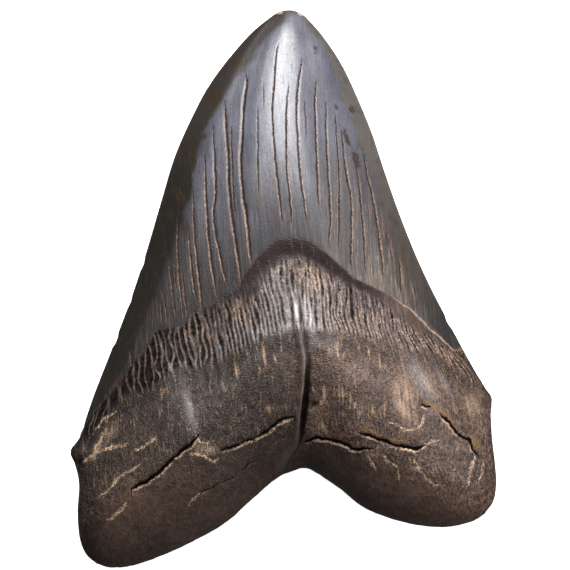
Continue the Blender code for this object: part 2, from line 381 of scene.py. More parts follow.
    def edge_height(self, crown: Array, root: Array) -> Array:
        """Height of the outline: a thin cutting edge that thickens into the rounded root side."""
        along_crown = self.tip_edge_z + (self.crown_edge_z - self.tip_edge_z) * crown
        return along_crown + (self.root_edge_z - self.crown_edge_z) * smoothstep(root / self.edge_reach)

    @staticmethod
    def rounded_foot(root: Array, reach: float) -> Array:
        """One above the foot of the root, and a quarter round down to zero at the outline."""
        return np.sqrt(np.clip(1 - np.clip((root - 1 + reach) / reach, 0, 1) ** 2, 0, 1))

    def groove_offset(self, x: Array, y: Array) -> tuple[Array, Array]:
        """Sideways distance from the nutrient groove, and how far inside its two ends.

        Args:
            x: Places in plan.
            y: Places in plan.

        Returns:
            The distance, positive on the right, and a share that fades to 0 at both ends.
        """
        curve = smooth_curve(self.groove_route)[::-1]
        to_top, to_foot = curve[-1, 1] - y, y - curve[0, 1]
        inside = smoothstep(to_top / self.groove_fade) * smoothstep(to_foot / self.groove_fade)
        return x - np.interp(y, curve[:, 1], curve[:, 0]), inside

    def lingual_height(self, x: Array, y: Array, across: Array, down: Array) -> Array:
        """The inner face: a domed crown, and a root that bulges to its crest and rounds off below.

        Args:
            x: Places in plan.
            y: Places in plan.
            across: The same places, across the tooth.
            down: The same places, down the tooth.

        Returns:
            Heights above the floor.
        """
        crown, root = np.clip(down, 0, 1), np.clip(down - 1, 0, 1)
        edge = self.edge_height(crown, root)
        rise = self.crown_steepness * crown - (self.crown_steepness - 1) * crown**2
        rise = self.tip_rounding * np.sqrt(crown) + (1 - self.tip_rounding) * rise
        down_root = root * (1 - self.lobe_crest_drop * np.abs(across))
        crown_crest = self.tip_edge_z + (self.crown_base_z - self.tip_edge_z) * rise
        crest = np.where(root > 0, curve_height(self.root_crest, down_root), crown_crest)
        lens = np.clip(1 - across**2, 0, 1) ** self.crown_roundness
        flat = np.abs(across) ** self.root_flatness
        full = np.clip(1 - flat, 0, 1) ** self.root_roundness
        share = lens + (full - lens) * smoothstep(root / self.root_full_at)
        z = edge + (crest - edge) * share
        offset, inside = self.groove_offset(x, y)
        below = smoothstep(root / self.lobes_full_at)
        z = z - self.valley_depth * below * bump(offset, self.valley_width)
        z = z + self.lobe_swell * below * bump(np.abs(across) - self.lobe_middle, self.lobe_width)
        z = z + self.lip_height * inside * bump(offset + self.lip_offset, self.lip_width)
        z = edge + (z - edge) * self.rounded_foot(root, self.lingual_foot)
        for knob_x, knob_y, height in self.knobs:
            z = z + height * bump(np.hypot(x - knob_x, y - knob_y), self.knob_radius)
        return np.where(self.on_edge(across, down), edge, z)

    def labial_height(self, across: Array, down: Array) -> Array:
        """The outer face: nearly flat, lifted at the tip, hollow at the neck and between the lobes.

        Args:
            across: Places across the tooth.
            down: Places down the tooth.

        Returns:
            Heights above the floor.
        """
        crown, root = np.clip(down, 0, 1), np.clip(down - 1, 0, 1)
        edge = self.edge_height(crown, root)
        tip = self.tip_lift * (1 - smoothstep(crown / self.tip_lift_reach))
        neck = self.neck_hollow * bump(down - self.neck_down, self.neck_width)
        bay = self.bay_hollow * bump(across, self.bay_width) * smoothstep(root / self.bay_full_at)
        low = tip + neck + bay - self.labial_sink
        wedge = np.abs(across) ** self.labial_wedge
        rounded = 1 - np.sqrt(np.clip(1 - np.abs(across) ** self.labial_roundness, 0, 1))
        side = wedge + (rounded - wedge) * smoothstep(root / self.labial_round_at)
        z = low + (edge - low) * side
        z = edge + (z - edge) * self.rounded_foot(root, self.labial_foot)
        return np.where(self.on_edge(across, down), edge, np.maximum(z, 0))

    @staticmethod
    def on_edge(across: Array, down: Array) -> Array:
        """Whether places lie on the outline."""
        return (np.abs(across) > 1 - NEARLY) | (down < NEARLY) | (down > 2 - NEARLY)


# Cracks and marks


@dataclass(frozen=True)
class Crack:
    """One crack: its width and depth where it gapes, its route from the top or the groove, the side
    its pale filling lies on, and the shares of the route between which it gapes."""

    width: float
    depth: float
    route: Points
    pale: Hand = Hand.RIGHT
    gape: tuple[float, float] = (-0.5, 1.5)

    def opening(self, share: Array) -> Array:
        """How far the crack opens along its route.

        Args:
            share: Shares of the route.

        Returns:
            1 where it gapes, and about a third beyond, where it is a thin line.
        """
        start, end = self.gape
        inside = smoothstep((share - start) / 0.16 + 0.5) * smoothstep((end - share) / 0.16 + 0.5)
        return 0.32 + 0.68 * inside


@dataclass(frozen=True)
class Patch:
    """A soft oval on the surface in plan, by its place, half sizes, strength and lean."""

    x: float
    y: float
    wide: float
    tall: float
    strength: float = 1.0
    lean: float = 0.0

    def over(self, x: Array, y: Array) -> Array:
        """How strong the patch is at each place."""
        sideways = (x - self.x + self.lean * (y - self.y)) / self.wide
        return self.strength * np.exp(-(sideways**2) - ((y - self.y) / self.tall) ** 2)


@dataclass(frozen=True)
class CrackSet:
    """Cracks of one kind on one face, and how they run over it."""

    cracks: tuple[Crack, ...]
    wander: float = 0.18
    unevenness: float = 0.6
    taper: float = 8.0
    reach: float = 1.1

    def traces(self, x: Array, y: Array) -> Iterator[tuple[Array, Array, Array, Array]]:
        """Follows each crack over the points near it.

        Args:
            x: Places in plan.
            y: Places in plan.

        Yields:
            Which points are near, how far each lies towards the pale side, and the crack's width
            and depth there.
        """
        for number, crack in enumerate(self.cracks):
            run = smooth_curve(crack.route, 6)
            low, high = run.min(axis=0) - self.reach, run.max(axis=0) + self.reach
            near = np.flatnonzero((x > low[0]) & (x < high[0]) & (y > low[1]) & (y < high[1]))
            offset, share = nearest_on(run, x[near], y[near])
            along = share * np.hypot(*np.diff(run, axis=0).T).sum()
            left = (1 / np.maximum(share, NEARLY) - 1) * along
            offset = offset + self.wander * fractal(along / 2.0, number * 7.3 + along * 0, 11, 3)
            ragged = 1 + self.unevenness * fractal(along / 2.2, number * 3.1 + along * 0, 12, 3)
            ends = np.clip(np.minimum(along, left) / self.taper, 0, 1) ** 0.7
            ends = ends * crack.opening(share)
            yield near, offset * crack.pale.value, crack.width * ragged * ends, crack.depth * ends

    def marks(self, x: Array, y: Array) -> dict[str, Array]:
        """Marks each point with the crack nearest to it.

        Args:
            x: Places in plan.
            y: Places in plan.

        Returns:
            Arrays by name: the offset towards the pale side, and the crack's width and depth, which
            are zero away from it.
        """
        found = {
            "offset": np.full(x.shape, self.reach),
            "width": np.zeros(x.shape),
            "depth": np.zeros(x.shape),
        }
        for near, offset, width, depth in self.traces(x, y):
            present = 1 - smoothstep((np.abs(offset) - 0.4 * self.reach) / (0.35 * self.reach))
            closer = np.abs(offset) < np.abs(found["offset"][near])
            chosen = near[closer]
            for name, values in (
                ("offset", offset), ("width", width * present), ("depth", depth * present),
            ):
                found[name][chosen] = values[closer]
        return found

    def apart(self) -> tuple["CrackSet", ...]:
        """Deals the cracks out into sets in which no two come close to each other.

        Returns:
            As many sets as there are crack layers.
        """
        sets: tuple[list[Crack], ...] = tuple([] for _ in CRACK_LAYERS)
        for crack in self.cracks:
            free = (held for held in sets if not any(self._close(crack, other) for other in held))
            next(free, sets[-1]).append(crack)
        return tuple(replace(self, cracks=tuple(held)) for held in sets)

    def _close(self, first: Crack, second: Crack) -> bool:
        """Whether two cracks come closer than their marks can be told apart.

        Args:
            first: One crack.
            second: The other.

        Returns:
            True if they are too close for one set.
        """
        run = smooth_curve(second.route, 6)
        distance, _ = nearest_on(smooth_curve(first.route, 6), run[:, 0], run[:, 1])
        return bool(np.abs(distance).min() < 1.6 * self.reach)


# The long cracks of the inner face's enamel, from left to right
LINGUAL_ENAMEL_CRACKS = CrackSet((
    Crack(0.85, 0.34, (
        (-9.3, 54.5), (-9.0, 51.0), (-9.8, 45.8), (-10.3, 37.0), (-10.5, 30.0), (-10.0, 23.0),
        (-9.3, 19.5), (-8.5, 13.0), (-7.8, 5.3))),
    Crack(0.72, 0.28, (
        (-14.5, 46.8), (-14.3, 40.5), (-13.8, 33.5), (-13.3, 23.0), (-12.3, 15.3), (-11.0, 6.5),
        (-10.3, 1.0))),
    Crack(0.30, 0.16, ((-12.9, 41.5), (-12.7, 33.0), (-12.3, 23.0), (-11.4, 17.0))),
    Crack(0.60, 0.24, (
        (-17.3, 41.3), (-17.3, 37.0), (-17.0, 31.8), (-16.8, 23.0), (-17.3, 17.3), (-14.8, 4.5),
        (-13.5, 0.0))),
    Crack(0.55, 0.22, (
        (-19.5, 33.5), (-19.3, 26.5), (-19.0, 19.5), (-18.3, 10.8), (-17.0, 2.3), (-16.3, -3.0))),
    Crack(0.48, 0.20, (
        (-22.5, 24.5), (-22.0, 15.3), (-21.3, 6.5), (-20.4, -0.5), (-20.1, -6.0))),
    Crack(0.34, 0.16, ((-23.5, 15.3), (-23.0, 8.8), (-22.0, 0.0), (-21.0, -5.5))),
    Crack(0.32, 0.15, ((-26.3, 18.3), (-26.3, 13.0), (-26.0, 6.5), (-25.4, 0.0), (-24.7, -7.5))),
    Crack(0.30, 0.14, ((-25.0, 4.5), (-24.0, -4.3), (-23.5, -7.3))),
    Crack(0.30, 0.14, ((-28.5, 7.0), (-27.5, 0.0), (-26.5, -7.3))),
    Crack(0.28, 0.12, ((-27.3, 7.5), (-26.3, -1.0))),
    Crack(0.28, 0.12, ((-30.0, 0.0), (-29.0, -5.5), (-28.6, -9.5))),
    Crack(0.28, 0.12, ((-30.4, -3.3), (-29.9, -9.8))),
    Crack(0.30, 0.14, ((-38.3, -15.0), (-37.8, -18.5), (-37.0, -24.5))),
    Crack(0.24, 0.10, ((-6.3, 45.8), (-6.3, 38.8), (-6.3, 31.8), (-6.0, 21.5))),
    Crack(0.20, 0.08, ((-4.8, 52.0), (-4.9, 44.0))),
    Crack(0.50, 0.24, (
        (-1.0, 61.5), (-1.8, 58.0), (-2.3, 51.0), (-2.8, 44.0), (-2.5, 38.8), (-2.0, 31.8),
        (-1.0, 23.0), (0.0, 15.3))),
    Crack(0.20, 0.08, ((0.3, 54.5), (0.0, 49.3))),
    Crack(0.42, 0.22, (
        (1.5, 51.0), (1.0, 44.0), (1.0, 37.0), (1.0, 30.0), (1.8, 21.5), (2.3, 15.3)), Hand.LEFT),
    Crack(0.20, 0.08, ((2.5, 57.3), (2.3, 52.8))),
    Crack(0.42, 0.20, (
        (5.0, 58.0), (4.0, 51.0), (3.5, 44.0), (3.8, 37.0), (4.0, 31.8), (5.0, 23.0),
        (6.0, 15.3)), Hand.LEFT),
    Crack(0.24, 0.10, ((5.3, 47.5), (5.8, 40.5), (5.8, 35.3)), Hand.LEFT),
    Crack(0.42, 0.20, (
        (8.3, 52.3), (8.0, 45.8), (8.3, 37.0), (8.5, 31.8), (8.8, 23.0), (9.0, 19.5)), Hand.LEFT),
    Crack(0.36, 0.18, (
        (10.8, 47.5), (10.8, 40.5), (11.0, 33.5), (11.5, 23.0), (11.8, 17.3), (11.3, 10.0)),
        Hand.LEFT),
    Crack(0.32, 0.15, ((13.0, 44.0), (13.3, 37.0), (13.8, 28.3), (13.8, 17.3), (13.5, 8.8))),
    Crack(0.40, 0.18, (
        (14.5, 40.5), (15.0, 35.3), (15.8, 28.3), (16.8, 23.0), (17.0, 17.3), (16.8, 4.5)),
        Hand.LEFT),
    Crack(0.28, 0.12, ((17.8, 33.5), (19.3, 22.5), (20.0, 13.0), (20.5, 3.5)), Hand.LEFT),
    Crack(0.45, 0.16, (
        (20.3, 33.8), (21.0, 28.3), (22.3, 23.0), (24.0, 12.3), (25.0, 2.3)), Hand.LEFT),
    Crack(0.26, 0.10, ((25.4, 15.5), (26.6, 10.0), (27.8, 5.0)), Hand.LEFT),
    Crack(0.28, 0.10, ((29.0, 8.8), (29.5, -3.3)), Hand.LEFT),
    Crack(0.24, 0.10, ((32.8, 2.3), (33.0, -3.8)), Hand.LEFT),
))

# The fine cracks of the outer face's enamel, which fan out a little
LABIAL_ENAMEL_CRACKS = CrackSet(tuple(
    Crack(
        width=0.3 + 0.12 * math.sin(2.3 * number) ** 2,
        depth=0.16,
        route=tuple(
            (3.2 * (number - 8) * (0.72 + 0.28 * step / 4) + 0.5 * math.sin(1.7 * number + step),
             38 - 1.6 * abs(number - 8) - step * (10 + 3 * math.sin(1.3 * number)))
            for step in range(5)
        ),
    )
    for number in range(17)
))

# The routes of the root's cracks start at the groove or at the upper end
ROOT_CRACKS = CrackSet((
    Crack(0.60, 0.8, (
        (3.5, -31.8), (2.0, -32.0), (0.0, -32.6), (-1.5, -33.8), (-3.3, -35.0), (-5.8, -36.3),
        (-8.3, -37.3), (-11.5, -38.6), (-14.0, -39.3), (-16.5, -40.6)), Hand.LEFT, (-0.1, 0.9)),
    Crack(0.70, 0.9, (
        (-20.2, -35.2), (-22.0, -37.3), (-23.6, -38.9), (-26.0, -40.8), (-29.2, -43.7),
        (-32.3, -46.3), (-35.0, -48.2), (-36.8, -49.2), (-37.6, -50.8), (-37.8, -52.4)),
        Hand.LEFT, (0.02, 0.9)),
    Crack(0.24, 0.2, (
        (-5.3, -42.8), (-8.0, -43.4), (-10.8, -45.8), (-14.8, -47.8), (-19.0, -49.6),
        (-22.0, -51.8)), Hand.LEFT),
    Crack(0.64, 0.8, (
        (4.6, -38.3), (7.5, -37.2), (11.0, -37.0), (14.3, -37.8), (17.3, -39.3), (20.2, -39.5),
        (23.0, -39.0)), Hand.RIGHT, (-0.1, 0.95)),
    Crack(0.74, 0.8, (
        (17.3, -34.8), (20.5, -36.1), (24.8, -37.3), (28.0, -38.4), (32.3, -39.2),
        (33.8, -38.8), (35.8, -38.0)), Hand.RIGHT, (0.05, 0.9)),
    Crack(0.60, 0.6, ((33.4, -28.2), (35.4, -29.0), (37.2, -29.4)), Hand.RIGHT, (-0.2, 0.8)),
    Crack(0.88, 0.9, (
        (38.4, -30.2), (40.3, -31.8), (41.8, -34.0), (43.2, -35.8), (44.8, -36.8), (46.0, -37.2),
        (46.8, -39.4), (48.2, -41.3), (49.6, -43.3)), Hand.RIGHT, (0.0, 0.8)),
), wander=0.55, unevenness=0.8, taper=2.0, reach=2.6)

# Thin cracks of the root that pale sediment has filled
VEINS = CrackSet((
    Crack(0.55, 0.1, ((-34.3, -42.6), (-37.4, -44.8), (-40.3, -46.6), (-43.0, -49.5), (-46.3, -52.0))),
    Crack(0.45, 0.1, ((-36.8, -40.0), (-33.5, -38.3), (-30.8, -36.0))),
    Crack(0.75, 0.1, ((-50.2, -43.6), (-46.8, -41.0), (-44.0, -39.8), (-41.0, -38.9), (-38.2, -38.0))),
    Crack(0.60, 0.1, ((-48.6, -42.6), (-46.3, -39.4), (-45.0, -36.5), (-43.8, -33.8))),
    Crack(0.45, 0.1, ((-47.2, -35.6), (-44.4, -32.4), (-41.0, -30.2))),
    Crack(0.50, 0.1, ((-21.3, -35.5), (-20.3, -37.4), (-18.6, -37.9), (-16.2, -37.0))),
    Crack(0.80, 0.1, ((-23.2, -40.3), (-21.0, -40.2), (-19.0, -41.0), (-17.0, -42.4), (-15.2, -41.2))),
    Crack(0.80, 0.1, ((-38.2, -52.4), (-40.2, -54.8), (-42.0, -56.2), (-43.6, -57.4))),
    Crack(0.40, 0.1, ((-19.0, -49.6), (-22.0, -51.8), (-23.5, -54.0))),
    Crack(0.60, 0.1, (
        (25.3, -32.5), (27.4, -33.1), (30.3, -34.8), (33.2, -33.9), (34.4, -32.6), (35.0, -30.6))),
    Crack(0.45, 0.1, ((32.4, -40.2), (33.0, -43.8), (36.2, -47.5), (40.0, -49.0))),
    Crack(0.45, 0.1, ((24.3, -40.3), (25.4, -42.2), (28.2, -44.0), (28.4, -47.5))),
    Crack(0.40, 0.1, ((20.2, -40.2), (21.8, -43.0), (23.4, -45.4))),
    Crack(0.75, 0.1, ((47.7, -41.0), (46.7, -43.0), (46.3, -45.6), (45.7, -49.0))),
    Crack(0.60, 0.1, ((49.4, -42.4), (49.6, -44.4), (48.4, -48.0))),
    Crack(0.40, 0.1, ((9.5, -32.0), (10.2, -34.8), (11.5, -37.0))),
    Crack(0.50, 0.1, ((28.4, -38.9), (32.4, -39.8), (36.0, -37.8), (39.0, -37.2))),
), wander=0.4, unevenness=0.8, taper=2.5, reach=1.3)

# Brown stains of the crown, most of them along the inner border of its dark edge
STAINS = (
    Patch(-11.2, 56.6, 1.7, 1.5, 1.2), Patch(-17.3, 47.4, 1.9, 2.2), Patch(-19.8, 37.8, 0.9, 0.9),
    Patch(-22.8, 33.3, 1.6, 3.0, 0.7), Patch(-26.0, 23.5, 1.6, 2.4, 0.8),
    Patch(-24.2, 14.3, 1.3, 1.6, 0.8), Patch(8.0, 59.8, 0.7, 0.7), Patch(13.3, 45.0, 0.6, 0.7),
    Patch(17.3, 44.8, 0.8, 0.9), Patch(16.0, 37.0, 0.6, 2.2, 1.0, 0.4),
    Patch(18.3, 32.3, 0.9, 2.4, 1.0, 0.2), Patch(20.2, 33.6, 0.6, 1.4, 0.7),
)

# Places that rubbing has raised to a soft shine, which the coat gives and a paler painted sheen adds
# to: a streak down each lobe and round the groove's top
POLISH = (
    Patch(-23.0, -29.4, 1.3, 5.6, 0.52, 0.3), Patch(4.5, -9.4, 5.5, 1.0, 0.6),
    Patch(6.4, -7.0, 0.9, 3.8, 1.7, 0.2), Patch(2.9, -5.0, 0.8, 3.4, 1.4, 0.1),
    Patch(-6.0, -10.4, 6.0, 1.4, 0.25), Patch(34.0, -22.2, 2.1, 5.4, 0.64, 0.47),
    Patch(36.0, -30.2, 1.6, 1.3, 0.25), Patch(39.8, -23.0, 0.8, 3.6, 0.5, 0.5),
)

# Rust-brown places beside the cracks of the right lobe
RUST = (
    Patch(38.4, -30.0, 1.5, 3.0, 1.2, 1.2), Patch(20.8, -34.9, 2.0, 1.5, 1.0, 1.8),
    Patch(48.0, -38.6, 1.2, 3.0, 0.8, 0.4), Patch(47.3, -28.3, 3.0, 3.4, 0.35),
    Patch(14.0, -36.2, 4.0, 0.9, 0.7), Patch(27.5, -37.2, 4.5, 1.1, 0.8),
    Patch(10.2, -35.0, 0.9, 2.4, 0.45, 0.3),
)

# Chips at the tip that show the pale dentine
CHIPS = (Patch(-0.9, 69.3, 1.3, 0.55), Patch(4.3, 68.9, 0.8, 0.6))

# Upright pale flecks of the root
FLECKS = (
    Patch(13.4, -14.3, 0.45, 3.4, 1.0), Patch(23.8, -17.0, 0.4, 2.8, 0.8),
    Patch(10.0, -25.8, 0.5, 2.6, 0.9), Patch(14.5, -25.6, 0.5, 2.4, 0.9, 0.1),
    Patch(11.2, -15.2, 0.4, 1.3, 0.8), Patch(15.0, -16.4, 0.4, 1.8, 0.7),
    Patch(18.8, -14.5, 0.5, 1.2, 0.8), Patch(21.3, -15.2, 0.5, 1.1, 0.7),
    Patch(-4.6, -16.2, 0.55, 3.6, 1.0, 0.16), Patch(-2.0, -16.9, 0.5, 1.9, 0.9, 0.3),
    Patch(-0.3, -14.9, 0.4, 1.8, 0.6), Patch(-11.5, -20.2, 0.6, 3.0, 0.9, 0.25),
    Patch(-14.4, -24.3, 0.4, 2.6, 0.7, 0.2), Patch(-3.5, -29.6, 1.2, 1.4, 0.7),
    Patch(9.3, -28.0, 0.8, 0.7, 1.1), Patch(16.2, -27.2, 0.5, 1.2, 0.8),
    Patch(10.6, -34.5, 0.4, 2.8, 0.6, 0.2), Patch(17.5, -28.6, 0.5, 1.2, 0.9),
    Patch(21.8, -29.3, 0.4, 1.6, 0.8), Patch(24.7, -29.6, 0.4, 2.4, 0.8),
    Patch(-37.8, -18.5, 0.4, 4.2, 0.9, 0.15), Patch(-35.0, -18.6, 0.35, 2.6, 0.6),
    Patch(-18.2, -15.8, 0.45, 2.0, 0.8, 0.25), Patch(-20.6, -12.0, 0.5, 3.2, 0.7, 0.25),
)

# Worn places of the root where its paler inner layers show as fine upright streaks
WORN = (
    Patch(-22.5, -31.0, 4.0, 6.0, 0.3), Patch(30.0, -27.5, 3.2, 6.5, 1.1, 0.1),
    Patch(36.0, -22.5, 3.0, 7.0, 0.6, 0.4), Patch(45.2, -17.6, 1.8, 3.6, 1.2, 0.75),
    Patch(40.5, -16.5, 2.4, 4.5, 0.6, 0.9), Patch(19.0, -27.5, 6.0, 5.0, 0.35),
    Patch(-44.6, -37.8, 2.2, 6.5, 0.8, -0.6), Patch(-11.0, -32.0, 6.0, 3.6, 0.25),
    Patch(47.0, -28.5, 3.4, 4.5, 0.7), Patch(42.5, -47.5, 5.0, 4.0, 0.4),
    Patch(-30.0, -29.0, 5.0, 3.0, 0.3), Patch(30.0, -4.8, 4.2, 1.8, 0.8, 0.3),
    Patch(44.0, -26.0, 5.0, 5.0, 0.4), Patch(22.0, -40.8, 3.0, 1.0, 0.6, 1.4),
    Patch(8.6, -33.5, 2.4, 5.0, 0.7), Patch(-18.8, -39.4, 3.6, 1.7, 0.9),
    Patch(-21.5, -11.0, 5.0, 3.5, 0.65, 0.3), Patch(-11.0, -6.0, 3.0, 3.5, 0.7, 0.3),
    Patch(7.0, 2.5, 4.5, 3.5, 1.0, 0.2), Patch(20.0, -7.5, 8.0, 3.0, 0.45, 0.3),
    Patch(-34.0, -16.0, 3.0, 3.0, 0.4),
)


# The tooth


@dataclass(frozen=True)
class Surface:
    """What lies at each vertex of the tooth.

    A place is given in plan by x and y, by edge, its distance from the outline, by above, its
    distance above the enamel line, and by flow, which stays the same along a fibre. The field
    called fold is zero at the crest of a wrinkle. The groove is an offset and a half width, and
    the cracks and veins are offsets, widths and depths by name. The rest say how far a place
    belongs to a part of the tooth.
    """

    x: Array
    y: Array
    inner: Array
    above: Array
    edge: Array
    flow: Array
    fold: Array
    band: Array
    zone: Array
    hollow: Array
    lobes: Array
    arch: Array
    polish: Array
    groove: Array
    half_groove: Array
    brim: Array
    cracks: list[dict[str, Array]]
    fissures: dict[str, Array]
    veins: dict[str, Array]


@dataclass
class Tooth:
    """The fossil tooth as one closed mesh of two faces that meet along the outline."""

    form: ToothForm = field(default_factory=ToothForm)
    columns: int = 486
    crown_rows: int = 60
    root_rows: int = 120
    outer_face_share: int = 3
    weld_distance: float = 2e-6
    ledge_depth: float = 0.12
    enamel_waves: float = 0.06
    root_waves: float = 0.22
    hollow_depth: float = 0.25
    grain_height: float = 0.12
    fibre_height: float = 0.07
    fluting_height: float = 0.06
    fissure_lip: float = 0.06
    vein_depth: float = 0.12
    enamel_foot: Points = (
        (-50.0, -34.4), (-45.5, -29.0), (-42.0, -24.8), (-38.0, -19.5), (-35.3, -16.5),
        (-33.3, -13.8), (-31.3, -10.6), (-29.3, -10.2), (-25.0, -9.3), (-23.3, -7.0), (-20.8, -5.3),
        (-17.0, -4.0), (-15.3, -2.5), (-13.3, -1.3), (-10.9, 0.2), (-9.7, 3.2), (-8.0, 5.0),
        (-6.5, 7.5), (-4.7, 9.2), (-2.8, 10.8), (-0.3, 12.0), (4.3, 12.1), (6.8, 11.3), (9.3, 9.7),
        (11.8, 7.7), (14.3, 5.4), (16.8, 3.1), (19.3, 1.7), (21.8, 0.5), (26.3, -1.5),
        (29.3, -3.7), (31.8, -5.3), (35.0, -8.5), (36.8, -10.4), (39.3, -12.2), (42.3, -15.2),
        (46.5, -20.0), (50.9, -25.2),
    )
    band_foot: Points = (
        (-54.0, 0.2), (-34.0, 0.2), (-24.0, 0.4), (-18.0, 0.9), (-12.0, 1.4), (-8.0, 3.6), (-4.0, 4.2),
        (1.0, 4.6), (5.0, 4.2), (9.0, 3.4), (13.0, 3.0), (17.0, 2.3), (22.0, 2.2), (27.0, 2.6),
        (31.0, 3.2), (35.0, 2.0), (39.0, 0.5), (54.0, 0.3),
    )
    bare_edge: Patch = Patch(45.4, -15.6, 1.7, 2.2, strength=3.0)
    wrinkle_foot: Points = (
        (-50.5, -38.5), (-46.8, -34.3), (-40.8, -28.0), (-33.3, -24.3), (-25.8, -20.0),
        (-17.0, -18.0), (-8.3, -14.3), (-3.3, -11.8), (4.3, -10.5), (11.8, -10.2), (20.5, -12.4),
        (29.3, -14.4), (36.2, -16.0), (40.0, -17.6), (43.5, -19.8), (46.5, -22.0), (50.0, -25.2),
    )
    wrinkle_height: float = 0.22
    wrinkle_pitch: Points = (
        (-52.0, 1.5), (-28.0, 1.4), (-20.0, 1.25), (-4.0, 1.1), (5.0, 0.95), (30.0, 0.86),
        (60.0, 0.84),
    )
    ridge_width: Points = (
        (-54.0, 0.3), (-34.0, 0.38), (-24.0, 0.52), (-14.0, 0.72), (30.0, 0.85), (42.0, 0.7),
        (60.0, 0.5),
    )
    fibre_lean: Points = (
        (-50.0, 0.0), (-35.0, 0.1), (-20.0, 0.21), (-8.0, 0.26), (3.0, 0.12), (17.0, 0.1), (30.0, 0.22),
        (38.0, 0.45), (47.0, 0.75),
    )
    foot_lean: Points = ((-60.0, 0.0), (6.0, 0.0), (14.0, 0.3), (36.0, 0.3), (44.0, 0.1), (60.0, 0.0))
    crown_lean: Points = ((-40.0, 0.04), (-12.0, 0.07), (8.0, 0.05), (22.0, 0.06), (40.0, 0.03))
    groove_depth: float = 1.3
    groove_at: tuple[float, ...] = (-47, -43, -39, -34, -28, -22, -18, -10, -3, -1)
    groove_half: tuple[float, ...] = (0.1, 0.15, 0.3, 0.65, 0.8, 0.6, 0.42, 0.28, 0.2, 0)
    groove_brim: tuple[float, ...] = (1.2, 1.1, 0.9, 0.6, 0.5, 0.55, 0.85, 1.0, 0.9, 0.6)
    groove_brim_height: float = 0.55
    polish_height: float = 0.2
    groove_foot_bend: float = 3.2
    pit: tuple[float, float, float, float] = (7.2, -28.9, 0.9, 0.9)
    left_edge_band: Points = (
        (-36.0, 4.5), (-20.0, 5.0), (0.0, 5.6), (12.0, 6.2), (22.0, 7.0), (32.0, 5.2), (42.0, 4.6),
        (55.0, 4.8), (66.0, 3.4), (71.0, 2.0),
    )
    right_edge_band: Points = (
        (-26.0, 6.0), (-12.0, 4.4), (2.0, 3.8), (14.0, 4.4), (24.0, 3.4), (36.0, 3.7), (47.0, 3.2),
        (56.0, 2.2), (64.0, 1.6), (71.0, 1.0),
    )
    edge_band_waver: float = 0.7
    edge_band_softness: float = 2.6
    nick_radius: float = 0.9
    nick_reach: float = 1.5
    nicks: tuple[tuple[float, float, float], ...] = (
        (-34.8, 6.3, 0.45), (-38.8, -3.0, 0.4), (-41.9, -12.7, 0.6), (41.4, -9.2, 0.6),
    )

    def build(self) -> bpy.types.Object:
        """Makes the tooth, carves it and dresses it.

        Returns:
            The finished piece, in the place of the solid.
        """
        mesh = self.closed_mesh()
        self.carve(mesh)
        mesh.materials.append(FossilFinish().material())
        mesh.shade_smooth()
        piece = bpy.data.objects.new("fossil_tooth", mesh)
        bpy.context.scene.collection.objects.link(piece)
        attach(piece, TOOTH_BODY)
        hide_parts(TOOTH_NODE)
        return piece

    def sheet(self, face: Face) -> bmesh.types.BMesh:
        """Makes one face as a flat grid that knows where each of its vertices belongs.

        Args:
            face: Which face. The outer one has a third of the rows and columns, with its border
                cut to match the inner one's.

        Returns:
            The grid, with each vertex's face and its place across and down kept in layers.
        """
        coarser = 1 if face is Face.LINGUAL else self.outer_face_share
        made = bmesh.new()
        rows = (self.crown_rows + self.root_rows) // coarser
        bmesh.ops.create_grid(made, x_segments=self.columns // coarser, y_segments=rows, size=1)
        if face is Face.LABIAL:
            border = [edge for edge in made.edges if edge.is_boundary]
            bmesh.ops.subdivide_edges(made, edges=border, cuts=coarser - 1)
        across = made.verts.layers.float.new("across")
        down = made.verts.layers.float.new("down")
        side = made.verts.layers.float.new("side")
        split = self.crown_rows / (self.crown_rows + self.root_rows)
        for vertex in made.verts:
            row = (1 - vertex.co.y) / 2
            if row <= split + NEARLY:
                vertex[down] = min(row / split, 1) ** 1.1
            else:
                below = (row - split) / (1 - split)
                vertex[down] = 1 + 0.7 * below + 0.3 * math.sin(below * math.pi / 2)
            vertex[across] = self._column(vertex.co.x, vertex[down])
            vertex[side] = face.value
        if face is Face.LABIAL:
            bmesh.ops.reverse_faces(made, faces=made.faces[:])
        return made

    @staticmethod
    def _column(column: float, down: float) -> float:
        """Leads a column of the grid along the cracks of the crown and the wrinkles of the root.

        Args:
            column: The column, from -1 to 1.
            down: How far down the tooth.

        Returns:
            The place across the tooth.
        """
        steeper = 0.12 * math.sin(math.pi * column) * max(1 - down, 0)
        sunk = min(max(down - 1, 0) / 0.45, 1)
        leaning = math.exp(-(((column - 0.66) / 0.22) ** 2)) * min((1 - column) / 0.15, 1)
        right = 0.09 * leaning * sunk * sunk * (3 - 2 * sunk)
        return 0.75 * column + 0.25 * math.sin(column * math.pi / 2) + steeper + right

    def closed_mesh(self) -> bpy.types.Mesh:
        """Lays both sheets on the form and welds them along the outline.

        Returns:
            The closed mesh, still without cracks or grain.
        """
        whole = bmesh.new()
        for face in Face:
            sheet = self.sheet(face)
            part = bpy.data.meshes.new("face")
            sheet.to_mesh(part)
            sheet.free()
            across, down = self._read(part, "across"), self._read(part, "down")
            plan = self.form.outline(across, down, face)
            if face is Face.LINGUAL:
                z = self.form.lingual_height(plan[:, 0], plan[:, 1], across, down)
            else:
                z = self.form.labial_height(across, down)
            points = np.column_stack([plan, z]) * MM
            part.vertices.foreach_set("co", points.ravel())
            whole.from_mesh(part)
            bpy.data.meshes.remove(part)
        bmesh.ops.remove_doubles(whole, verts=whole.verts, dist=self.weld_distance)
        mesh = bpy.data.meshes.new("fossil_tooth")
        whole.to_mesh(mesh)
        whole.free()
        return mesh

